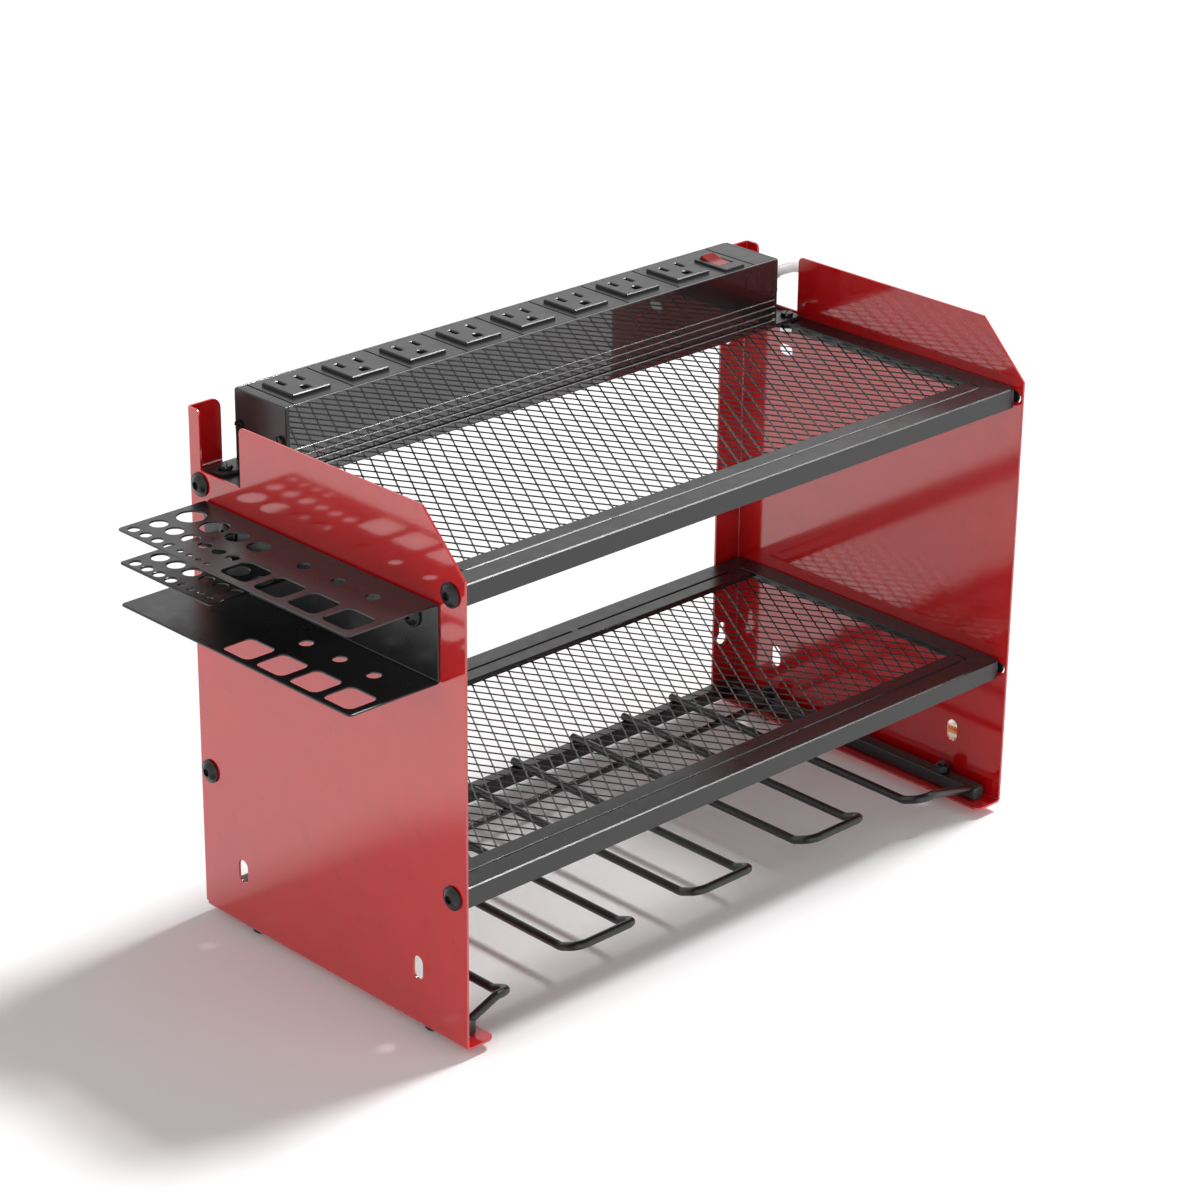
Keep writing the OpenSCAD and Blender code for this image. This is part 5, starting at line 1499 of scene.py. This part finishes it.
@dataclass
class HookRack:
    """The rack under the lower shelf: square rails, caps and bent wire hooks."""

    rail: float = 8.5
    wall: float = 1.2
    rail_in: float = 5.5
    rail_front: float = 12.0
    rail_back: float = 218.0
    wire: float = 5.0
    width: float = 43.0
    centres: tuple[float, float, float] = (118.5, 210.5, 302.5)
    bend_y: float = 32.5
    tip: float = 15.0
    slope: float = 21.5
    corner: float = 7.0
    leg_corner: float = 9.0
    leg_z: float = 12.5
    half_bend_y: float = 24.0
    half_legs: Point = (39.5, 59.5)
    landing: Point = (13.0, 8.5)
    cross_d: float = 4.0
    cross_at: Point = (178.0, 8.0)
    cap_l: float = 3.5
    cap_plug: Point = (6.0, 8.0)

    def tube_section(self) -> tuple[list[Point], list[Point]]:
        """Outer and inner loop of the square tube about its middle."""
        bore = self.rail - 2 * self.wall
        return rounded(0, 0, self.rail, self.rail, 1.1, 4), rounded(0, 0, bore, bore, 0.4, 3)

    def rails(self) -> None:
        """Makes the two side rails, the rear rail and the caps."""
        outer, inner = self.tube_section()
        x, z = self.rail_in + self.rail / 2, PANEL_T + self.rail / 2
        for side in Side:
            form = Form().slab(outer, [inner], self.rail_front, self.rail_back, edge=0.2)
            form.move(lambda a, b, c: Vector((x + a, c, z + b)))
            if side is Side.RIGHT:
                form.mirror()
            finish_piece(form.to_mesh(f"{side.value}_rail_tube"), BLACK_COAT, [f"{side.value}_rack_rail"])
        ends = self.rail_in + self.rail
        form = Form().slab(outer, [inner], ends, BODY_W - ends, edge=0.2)
        form.move(lambda a, b, c: Vector((c, self.rail_back - self.rail / 2 + a, z + b)))
        finish_piece(form.to_mesh("rear_rail_tube"), BLACK_COAT, ["rear_rack_rail"])
        caps = Form()
        for side in Side:
            head = rounded(0, 0, self.rail, self.rail, 1.4, 5)
            wide, deep = self.cap_plug
            cap = Form().slab(head, [], 0, self.cap_l, edge=0.9, steps=4, low_edge=0.15)
            cap.slab(rounded(0, 0, wide, wide, 0.5), [], -deep, 0.2, edge=0.1)
            cap.move(lambda a, b, c: Vector((x + a, self.rail_front - c, z + b)))
            if side is Side.RIGHT:
                cap.mirror()
            caps.add(cap)
        finish_piece(caps.to_mesh("rail_caps"), BLACK_PLASTIC, ["rail_end_caps"])

    def bent_path(self, corners: Sequence[tuple[Vector, float]], steps: int = 8) -> list[Vector]:
        """Rounds the corners of a wire's route.

        Args:
            corners: The corners of the route, each with its radius.
            steps: Steps in a corner.

        Returns:
            The points of the route.
        """
        out = [corners[0][0]]
        for i in range(1, len(corners) - 1):
            here, r = corners[i]
            a = (corners[i - 1][0] - here).normalized()
            b = (corners[i + 1][0] - here).normalized()
            half = a.angle(b) / 2
            run = r / math.tan(half)
            middle = here + (a + b).normalized() * (r / math.sin(half))
            first, last = (here + a * run - middle).normalized(), (here + b * run - middle).normalized()
            sweep = first.angle(last)
            for k in range(steps + 1):
                s = k / steps
                point = first * math.sin((1 - s) * sweep) + last * math.sin(s * sweep)
                out.append(middle + point * (r / math.sin(sweep)))
        out.append(corners[-1][0])
        return out

    def raised(self, x: float, out: float, bend_y: float) -> Vector:
        """A point on the raised end of a hook, at a distance from its bend."""
        a = math.radians(self.slope)
        return Vector((x, bend_y - out * math.cos(a), self.leg_z + out * math.sin(a)))

    def hooks(self) -> None:
        """Bends the three U-shaped hooks, the half hooks and the cross wire."""
        half = self.width / 2
        for label, x in zip(("left", "middle", "right"), self.centres):
            corners = [(Vector((x - half, self.rail_back, self.leg_z)), 0.0)]
            for sign in (-1, 1):
                pair = [
                    (Vector((x + sign * half, self.bend_y, self.leg_z)), self.leg_corner),
                    (self.raised(x + sign * half, self.tip, self.bend_y), self.corner),
                ]
                corners += pair if sign < 0 else pair[::-1]
            corners.append((Vector((x + half, self.rail_back, self.leg_z)), 0.0))
            form = Form().tube(self.bent_path(corners), self.wire, 20)
            finish_piece(form.to_mesh(f"{label}_hook"), BLACK_COAT, [f"hook_wire_{label}"])
        for side, leg_x in zip(Side, self.half_legs):
            self.half_hook(side, leg_x)
        ends = self.rail_in + self.rail
        route = [Vector((ends, *self.cross_at)), Vector((BODY_W - ends, *self.cross_at))]
        cross = Form().tube(route, self.cross_d, 18)
        finish_piece(cross.to_mesh("cross_wire"), BLACK_COAT, ["rack_cross_wire"])

    def half_hook(self, side: Side, leg_x: float) -> None:
        """Bends a half hook, whose bar ends on the rail's inner face.

        Args:
            side: End of the rack.
            leg_x: Distance of its leg from the panel's outer face.
        """
        bar = self.raised(leg_x, self.tip, self.half_bend_y)
        land = Vector((self.rail_in + self.rail, *self.landing))
        start = Vector((leg_x - self.corner, bar.y, bar.z))
        run = (land - start).normalized()
        corners = [
            (Vector((leg_x, self.rail_back, self.leg_z)), 0.0),
            (Vector((leg_x, self.half_bend_y, self.leg_z)), self.leg_corner), (bar, self.corner),
            (start - Vector((3.0, 0, 0)), 3.0), (land + run * 1.5, 0.0),
        ]
        form = Form().tube(self.bent_path(corners), self.wire, 20)
        if side is Side.RIGHT:
            form.mirror()
        finish_piece(form.to_mesh(f"{side.value}_half_hook"), BLACK_COAT, [f"half_hook_{side.value}"])


# Power strip


@dataclass
class PowerStrip:
    """The strip on the upper shelf: folded channel, outlet cover and end caps."""

    copies: Copies
    h: float = 43.0
    wall: float = 1.6
    cap: float = 2.4
    cover: float = 3.0
    skin: float = 0.6
    plate: float = 26.4
    rise: float = 2.0
    pitch: float = 40.7
    first: float = 24.9
    outlets: int = 8
    groove_first: float = 6.5
    groove_last: float = 352.65
    groove: float = 1.0
    ridges: int = 4
    ridge_first: float = 5.0
    ridge_pitch: float = 4.1
    ridge_out: float = 0.5
    ridge_step: float = 0.38
    blade_pitch: float = 12.7
    blade: Point = (2.2, 7.2)
    blade_y: float = 26.6
    ground_y: float = 14.4
    ground_r: float = 2.6
    ground_foot: float = 11.8
    switch_hole: Point = (13.9, 26.1)
    cord_hole: float = 10.4
    left_ear: Point = (20.1, 12.6)
    right_ear: Point = (23.7, 16.2)
    ear_slot: Point = (9.0, 4.6)
    clearance: float = 0.2

    def at(self, x: float, y: float, z: float) -> Vector:
        """A point given from the strip's own left front lower corner."""
        return STRIP + Vector((x, y, z))

    def housing(self) -> bpy.types.Object:
        """Extrudes the channel with its front ridges."""
        w, t, h = STRIP_W, self.wall, self.h
        corners = [
            (0, 0, 1.2), (w, 0, 1.2), (w, h, 0.45), (w - t, h, 0.45), (w - t, 40, 0), (w - t - 1.5, 40, 0.2),
            (w - t - 1.5, 38.5, 0.2), (w - t, 38.5, 0), (w - t, t, 0.3), (t, t, 0.3), (t, 38.5, 0),
            (t + 1.5, 38.5, 0.2), (t + 1.5, 40, 0.2), (t, 40, 0), (t, h, 0.45), (0, h, 0.45),
        ]
        # The lower ridges stand out further, so that the light from above reaches each of them
        for k in reversed(range(self.ridges)):
            z = self.ridge_first + self.ridge_pitch * k
            out = self.ridge_out + self.ridge_step * (self.ridges - 1 - k)
            corners += [
                (0, z + 0.86 + 0.55 * out, 0.05), (-out, z + 0.86, 0.08), (-out, z + 0.1, 0.2),
                (0, z - 0.1, 0.1),
            ]
        form = Form().slab(outline(corners, 4), [], self.cap, STRIP_L - self.cap, edge=0.05)
        form.move(lambda y, z, x: self.at(x, y, z))
        return finish_piece(form.to_mesh("strip_channel"), GLOSS_HOUSING, ["strip_housing"])

    def slots(self, x: float) -> list[list[Point]]:
        """The two blade slots and the ground hole of the outlet at x.

        Args:
            x: Middle of the outlet.

        Returns:
            Their loops.
        """
        spread = self.blade_pitch / 2
        blades = [rounded(x + side * spread, self.blade_y, *self.blade, 0.25, 2) for side in (-1, 1)]
        r, foot = self.ground_r, self.ground_foot
        ground = arc((x, self.ground_y), r, 0, 180, 14)
        ground += [(x - r, foot + 0.1), (x - r + 0.1, foot), (x + r - 0.1, foot), (x + r, foot + 0.1)]
        return blades + [ground]

    def outlet_cover(self) -> None:
        """Makes the cover, its raised plates and the grooves between the outlets."""
        middle, width = STRIP_W / 2, STRIP_W - 2 * (self.wall + self.clearance)
        centres = [self.first + i * self.pitch for i in range(self.outlets)]
        switch = rounded(SWITCH_X, SWITCH_Y, *self.switch_hole, 0.5, 2)
        base = rounded(STRIP_L / 2, middle, STRIP_L - 2 * self.cap, width, 0.2, 2)
        holes = [loop for x in centres for loop in self.slots(x)] + [switch]
        form = Form().slab(base, holes, self.h - self.cover, self.h - self.skin, edge=0.05)
        edges = [self.groove_first + i * self.pitch for i in range(self.outlets)]
        edges = [self.cap, *edges, self.groove_last]
        for i, start in enumerate(edges):
            a = start + (self.groove if i else 0.0)
            b = edges[i + 1] if i + 1 < len(edges) else STRIP_L - self.cap
            tile = rounded((a + b) / 2, middle, b - a, width, 0.25, 2)
            inside = [loop for x in centres if a < x < b for loop in self.slots(x)]
            inside += [switch] if a < SWITCH_X < b else []
            form.slab(tile, inside, self.h - self.skin, self.h, edge=0.22, low_edge=0.02)
        form.move(self.at)
        finish_piece(form.to_mesh("cover_sheet"), BLACK_PLASTIC, ["outlet_cover"])
        middle -= self.clearance
        plate = rounded(0, 0, self.plate, self.plate, 1.0, 4)
        openings = [[(x, y - middle) for x, y in loop] for loop in self.slots(0)]
        face = Form().slab(plate, openings, -0.05, self.rise, low_edge=0.02, bevel=(0.75, 0.42))
        seats = [(self.at(x, middle, self.h), HEAD_UP) for x in centres]
        self.copies.place("outlet_plates", face, seats, BLACK_PLASTIC)

    def end_cap(self, side: Side) -> bpy.types.Object:
        """Makes an end cap with its two slotted ears.

        Args:
            side: End of the strip.

        Returns:
            The cap.
        """
        left = side is Side.LEFT
        ear_l, slot_at = self.left_ear if left else self.right_ear
        plate = rounded(STRIP_W / 2, self.h / 2, STRIP_W, self.h, 1.5, 5)
        holes = [] if left else [circle(STRIP_W / 2, CORD_Z, self.cord_hole, 36)]
        form = Form().slab(plate, holes, 0, self.cap, edge=0.7, steps=3, low_edge=0.1)
        form.move(lambda y, z, x: Vector((x - self.cap, y, z)))
        for y in EAR_YS:
            loop = outline([(-1.5, y - 6, 0), (ear_l, y - 6, 5), (ear_l, y + 6, 5), (-1.5, y + 6, 0)], 7)
            form.slab(loop, [long_hole(slot_at, y, self.ear_slot)], 0, EAR_T, edge=0.45, steps=3)
        if left:
            form.move(lambda x, y, z: self.at(-x, y, z))
        else:
            form.move(lambda x, y, z: self.at(STRIP_L + x, y, z))
        return finish_piece(form.to_mesh(f"{side.value}_cap"), BLACK_PLASTIC, [f"strip_{side.value}_end_cap"])


@dataclass
class RockerSwitch:
    """The lighted rocker switch in the cover."""

    y: float = SWITCH_Y
    rocker_y: float = 19.5
    pivot: float = 42.0
    width: float = 10.5
    tilt: float = 10.0
    cavity: Point = (11.1, 17.9)

    def body(self) -> bpy.types.Object:
        """Makes the frame of the switch with its well."""
        well = rounded(0, self.rocker_y, *self.cavity, 0.4, 2)
        flange, shell = rounded(0, self.y, 16.5, 26.5, 1.5, 5), rounded(0, self.y, 13.5, 25.7, 0.4, 2)
        form = Form().slab(flange, [well], 43.0, 44.5, edge=0.45, steps=3, low_edge=0.05)
        form.slab(shell, [well], 33.0, 43.4, edge=0.05)
        form.slab(shell, [], 31.5, 33.02, edge=0.05)
        form.move(lambda x, y, z: STRIP + Vector((SWITCH_X + x, y, z)))
        return finish_piece(form.to_mesh("switch_frame"), BLACK_PLASTIC, ["switch_body"])

    def rocker(self) -> bpy.types.Object:
        """Makes the rocker with its back half raised."""
        section = outline([
            (8.15, 3.6, 0.7), (0, 2.2, 14), (-8.15, 3.6, 0.7), (-7.7, -1.2, 0.5), (-3.6, -5.2, 0.8),
            (3.6, -5.2, 0.8), (7.7, -1.2, 0.5),
        ], 6)
        form = Form().slab(section, [], -self.width / 2, self.width / 2, edge=0.45, steps=3)
        form.tube([Vector((0, 0, -6.4)), Vector((0, 0, 6.4))], 2.4, 20, 0.2)
        a = math.radians(self.tilt)
        form.move(lambda y, z, x: STRIP + Vector((
            SWITCH_X + x,
            self.rocker_y + y * math.cos(a) - z * math.sin(a),
            self.pivot + y * math.sin(a) + z * math.cos(a),
        )))
        return finish_piece(form.to_mesh("rocker_lens"), RED_LENS, ["switch_rocker"], body="rocker")


# Mains cord


@dataclass
class MainsCord:
    """The mains cord with its strain relief, coil, tie and plug, in millimetres of the part's frame."""

    d: float = 6.5
    exit: tuple[float, float, float] = (233.8, 78.8, 291.4)
    centre: tuple[float, float, float] = (320.5, 40.0, 4.25)
    turns: int = 3
    pitch: float = 7.0
    inner: float = 26.5
    tail: float = 40.0

    def route(self) -> list[Vector]:
        """The points that the cord is led through, from the strain relief to the coil.

        Returns:
            The points.
        """
        points = [
            (247, 78.8, 291.1), (254, 78.8, 289.2), (261, 78.8, 284.8), (267, 78.8, 278), (271, 78.8, 269.5),
            (273, 80, 260), (273, 82, 245),
        ]
        points += [(273, 82.8, z) for z in (225, 205, 185, 165, 145, 125, 105, 85, 65, 45, 31.3)]
        points += [(273, 80.7, 21), (273, 74.9, 12.2), (273, 66.1, 6.3), (273, 55.8, 4.25), (273, 46.5, 4.25)]
        start = Vector(self.exit)
        return [start, start + Vector((self.d, 0, 0))] + [Vector(p) for p in points]

    def smooth(self, points: Sequence[Vector], steps: int = 4) -> list[Vector]:
        """Runs a smooth line through points.

        Args:
            points: The points.
            steps: Steps between two of them.

        Returns:
            The denser line.
        """
        out = []
        for i in range(len(points) - 1):
            a, b = points[i], points[i + 1]
            before = points[i - 1] if i else a - (b - a)
            after = points[i + 2] if i + 2 < len(points) else b + (b - a)
            span = (b - a).length
            ta = (b - before) * (span / max((b - before).length, 1e-9))
            tb = (after - a) * (span / max((after - a).length, 1e-9))
            for k in range(steps):
                s = k / steps
                out.append(
                    a * (2 * s**3 - 3 * s**2 + 1) + ta * (s**3 - 2 * s**2 + s)
                    + b * (3 * s**2 - 2 * s**3) + tb * (s**3 - s**2)
                )
        return out + [points[-1]]

    def coil(self, rings: int = 40) -> list[Vector]:
        """The middle line of the coil, wound inwards and out again in two layers.

        Args:
            rings: Points in each turn.

        Returns:
            The points of the line.
        """
        out = []
        x, y, z = self.centre
        for i in range(2 * self.turns * rings + 1):
            turn = i / rings
            r = self.inner + self.pitch * abs(turn - self.turns)
            climb = min(max(2 * (turn - self.turns) + 0.5, 0.0), 1.0)
            lift = self.pitch * climb * climb * (3 - 2 * climb)
            a = math.pi + 2 * math.pi * turn
            out.append(Vector((x + r * math.cos(a), y + r * math.sin(a), z + lift)))
        return out

    def line(self) -> list[Vector]:
        """The whole cord's middle line, in metres."""
        coil = self.coil()
        run = [coil[-1] - Vector((0, self.tail * k / 5, 0)) for k in range(1, 6)]
        return [p * MM for p in self.smooth(self.route()) + coil + run]

    def grip(self) -> bpy.types.Object:
        """Turns the tapered strain relief with its grooves."""
        profile = [
            (0, -4.4), (6.3, -4.4), (6.5, -4.2), (6.5, -2.6), (6.3, -2.4), (5.2, -2.4), (5.2, 0), (5.35, 0),
            (5.5, 0.3),
        ]
        for k in range(1, 5):
            z = k * 22 / 6
            r = 5.5 - 1.5 * z / 22
            profile += [(r, z), (3.75, z + 0.15), (3.75, z + 1.45), (r - 0.1, z + 1.6)]
        profile += [(4.1, 21.2), (3.95, 21.8), (3.6, 22), (0, 22)]
        form = Form().lathe(profile)
        form.move(lambda x, y, z: STRIP + Vector((STRIP_L + z, STRIP_W / 2 + y, CORD_Z + x)))
        return finish_piece(form.to_mesh("strain_relief"), SHEATH, ["cord_grip"])

    def tie(self) -> bpy.types.Object:
        """Wraps the tie round the coil."""
        low_x = self.inner - self.d / 2 - 0.6
        high_x = self.inner + self.turns * self.pitch + self.d / 2 + 0.6
        middle = (low_x + high_x) / 2
        outer = rounded(middle, 7.75, high_x - low_x + 0.8, 15.5, 2.6, 5)
        inner = rounded(middle, 7.75, high_x - low_x - 0.8, 13.9, 1.9, 5)
        form = Form().slab(outer, [inner], -6, 6, edge=0.3)
        form.move(lambda x, z, y: Vector((self.centre[0] + x, self.centre[1] + y, z)) + DATUM)
        return finish_piece(form.to_mesh("coil_tie"), TIE, ["cord_tie"])

    def plug(self) -> bpy.types.Object:
        """Lofts the plug body from its neck to its face."""
        stations = [
            (0.0, 3.8, 3.8, 2.0), (4.0, 4.2, 4.2, 2.0), (8.0, 4.6, 4.6, 2.0), (11.0, 5.0, 5.0, 2.1),
            (13.0, 6.9, 6.1, 2.6), (17.0, 8.6, 7.3, 3.0), (22.0, 10.9, 9.1, 3.4), (27.0, 12.4, 10.8, 3.8),
            (30.0, 12.5, 11.0, 4.2), (38.6, 12.5, 11.0, 4.6), (39.6, 12.1, 10.6, 4.6),
            (40.0, 11.6, 10.1, 4.6),
        ]
        x0, y0, z0 = 273.0, 0.0, 11.25
        rows = []
        for along, w, h, power in stations:
            ring = []
            for k in range(48):
                a = 2 * math.pi * k / 48
                c, s = math.cos(a), math.sin(a)
                x = w * math.copysign(abs(c) ** (2 / power), c)
                z = h * math.copysign(abs(s) ** (2 / power), s)
                middle = z0 - max(0.0, min((along - 11) / 16, 1)) * (z0 - 11.0)
                ring.append(Vector((x0 + x, y0 - along, middle + z)) + DATUM)
            rows.append(ring)
        form = Form().skin(rows, ends=True)
        return finish_piece(form.to_mesh("plug_shell"), SHEATH, ["plug_body"])

    def build(self) -> None:
        points = self.line()
        curve = bpy.data.curves.new("mains_cord", "CURVE")
        curve.dimensions = "3D"
        spline = curve.splines.new("POLY")
        spline.points.add(len(points) - 1)
        for target, point in zip(spline.points, points):
            target.co = (*point, 1.0)
        curve.bevel_depth = self.d / 2 * MM
        curve.bevel_resolution = 5
        curve.use_fill_caps = True
        curve.materials.append(SHEATH.material())
        cord = linked("mains_cord", curve)
        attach(cord, "frame")
        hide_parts("power_cord", "cord_coil")
        length = sum((b - a).length for a, b in zip(points, points[1:]))
        pieces = [self.grip(), self.tie(), self.plug(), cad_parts["plug_blades"]]
        tuple(c * MM for c in self.exit)
        log.info("cord: %.3f m", length)


# Hidden pieces


@dataclass
class InnerPieces:
    """Solids that keep their own shape: the contacts, leads and inserts inside."""

    finishes: dict[str, Finish] = field(default_factory=lambda: {
        "shelf_rivet_nuts": ZINC, "contact_carrier": IVORY, "line_bus_bar": BRASS,
        "neutral_bus_bar": BRASS, "ground_bus_bar": BRASS, "switch_terminals": BRASS,
        "switch_lamp": LAMP_GLASS, "line_lead": LEAD_BLACK, "switched_lead": LEAD_GREY,
        "neutral_lead": LEAD_WHITE, "ground_lead": LEAD_GREEN, "plug_blades": BRASS,
    })

    def dress(self) -> None:
        """Gives each of these solids its finish."""
        for node, finish in self.finishes.items():
            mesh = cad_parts[node].data
            mesh.materials.clear()
            mesh.materials.append(finish.material())
            log.info("solid %s takes the finish %s", node, finish.name)


# Studio


@dataclass
class Studio:
    """Camera, floor and soft light."""

    lens: float = 107.334
    place: tuple[float, float, float] = (-1.25634652, -1.31269568, 0.963419903)
    turn: float = -44.0515458
    lift: float = 23.5450357
    roll: float = 0.624656282
    floor_size: float = 8.0
    world: float = 0.26
    glow: float = 0.05
    sun: float = 2.6
    sun_angle: float = 11.0
    sun_from: tuple[float, float, float] = (0.51, -0.03, 0.86)
    fill: float = 0.9
    fill_angle: float = 90.0
    fill_from: tuple[float, float, float] = (-0.93, 0.05, 0.35)
    front: float = 0.5
    front_angle: float = 50.0
    front_from: tuple[float, float, float] = (0.30, -0.85, 0.42)

    def camera(self) -> None:
        """Sets the camera at the photograph's viewpoint."""
        a, e, r = (math.radians(v) for v in (self.turn, self.lift, self.roll))
        back = Vector((math.sin(a) * math.cos(e), -math.cos(a) * math.cos(e), math.sin(e)))
        right = Vector((math.cos(a), math.sin(a), 0))
        up = back.cross(right)
        side = right * math.cos(r) + up * math.sin(r)
        head = up * math.cos(r) - right * math.sin(r)
        matrix = Matrix((side, head, back)).transposed().to_4x4()
        matrix.translation = Vector(self.place)
        data = bpy.data.cameras.new("camera")
        data.lens = self.lens
        data.sensor_width = 36
        data.clip_end = 50
        camera = linked("camera", data)
        camera.matrix_world = matrix
        bpy.context.scene.camera = camera

    def light(self) -> None:
        """Lights the object with a bright room and a soft key from behind on the right."""
        world = bpy.data.worlds.new("room")
        world.use_nodes = True
        kit = Tree(world.node_tree)
        through = kit.node("ShaderNodeLightPath").outputs["Is Transmission Ray"]
        clear = kit.math("MAXIMUM", kit.seen_directly(), through)
        place = kit.node("ShaderNodeTexCoord").outputs["Generated"]
        height = kit.node("ShaderNodeSeparateXYZ", {"0": place}).outputs["Z"]
        ceiling = kit.node("ShaderNodeMapRange", {
            "Value": height, "From Min": 0.5, "From Max": 0.75, "To Min": 1.0, "To Max": 0.2,
        }).outputs["Result"]
        level = kit.node("ShaderNodeMapRange", {"Value": clear, "To Min": self.world, "To Max": ceiling})
        background = kit.tree.nodes["Background"].inputs
        background["Color"].default_value = (1, 1, 1, 1)
        kit.feed(background["Strength"], level.outputs["Result"])
        bpy.context.scene.world = world
        self.sun_lamp("key", self.sun, self.sun_angle, self.sun_from)
        self.sun_lamp("fill", self.fill, self.fill_angle, self.fill_from).visible_glossy = False
        self.sun_lamp("front", self.front, self.front_angle, self.front_from).visible_glossy = False

    def sun_lamp(
        self, name: str, energy: float, angle: float, source: tuple[float, float, float]
    ) -> bpy.types.Object:
        """Adds a lamp that is infinitely far away.

        Args:
            name: Name of the lamp.
            energy: Its strength.
            angle: How wide it looks, in degrees.
            source: Direction that its light comes from.

        Returns:
            The lamp.
        """
        data = bpy.data.lights.new(name, "SUN")
        data.energy = energy
        data.angle = math.radians(angle)
        lamp = linked(name, data)
        lamp.rotation_euler = Vector(source).to_track_quat("Z", "Y").to_euler()
        return lamp

    def floor(self) -> None:
        """Lays the pale floor that keeps the object's shadow."""
        mesh = bpy.data.meshes.new("floor")
        s = self.floor_size
        mesh.from_pydata([(-s, -s, 0), (s, -s, 0), (s, s, 0), (-s, s, 0)], [], [(0, 1, 2, 3)])
        floor = linked("floor", mesh)
        material = bpy.data.materials.new("pale_floor")
        material.use_nodes = True
        kit = Tree(material.node_tree)
        inputs = kit.tree.nodes["Principled BSDF"].inputs
        inputs["Base Color"].default_value = (0.93, 0.93, 0.93, 1)
        inputs["Roughness"].default_value = 0.9
        inputs["Specular IOR Level"].default_value = 0.0
        inputs["Emission Color"].default_value = (1, 1, 1, 1)
        kit.feed(inputs["Emission Strength"], kit.math("MULTIPLY", kit.seen_directly(), self.glow))
        mesh.materials.append(material)

    def build(self) -> None:
        """Sets up the whole studio."""
        bpy.context.scene.view_settings.view_transform = "Standard"
        self.camera()
        self.light()
        self.floor()


def main() -> None:
    """Builds and dresses the whole organizer."""
    Studio().build()
    log.info("studio is set")
    MainsCord().build()
    copies = Copies()
    for side in Side:
        SidePanel(side).build()
    trees: dict[str, GeometryTree] = {}
    knots = ((4.4, 7.2), (4.6, 3.3))
    welds = ((16.0, 121.0, 255.0, 408.0), (16.0, 136.6, 268.6, 405.5))
    for label, top, knot, beads in zip(("upper", "lower"), SHELF_TOPS, knots, welds):
        shelf = Shelf(label, top, welds=beads)
        shelf.angle_frame()
        shelf.clamp_frame()
        MeshSheet(shelf, knot, trees=trees).build()
    holder = BitHolder()
    holder.channel()
    holder.middle_shelf()
    rack = HookRack()
    rack.rails()
    rack.hooks()
    strip = PowerStrip(copies)
    strip.housing()
    strip.outlet_cover()
    for side in Side:
        strip.end_cap(side)
    switch = RockerSwitch()
    switch.body()
    switch.rocker()
    fasteners = Fasteners(copies)
    fasteners.panel_screws()
    fasteners.holder_screws()
    fasteners.rack_bolts()
    fasteners.strip_screws()
    InnerPieces().dress()
    log.info("sizes are noted")


if __name__ == "__main__":
    main()
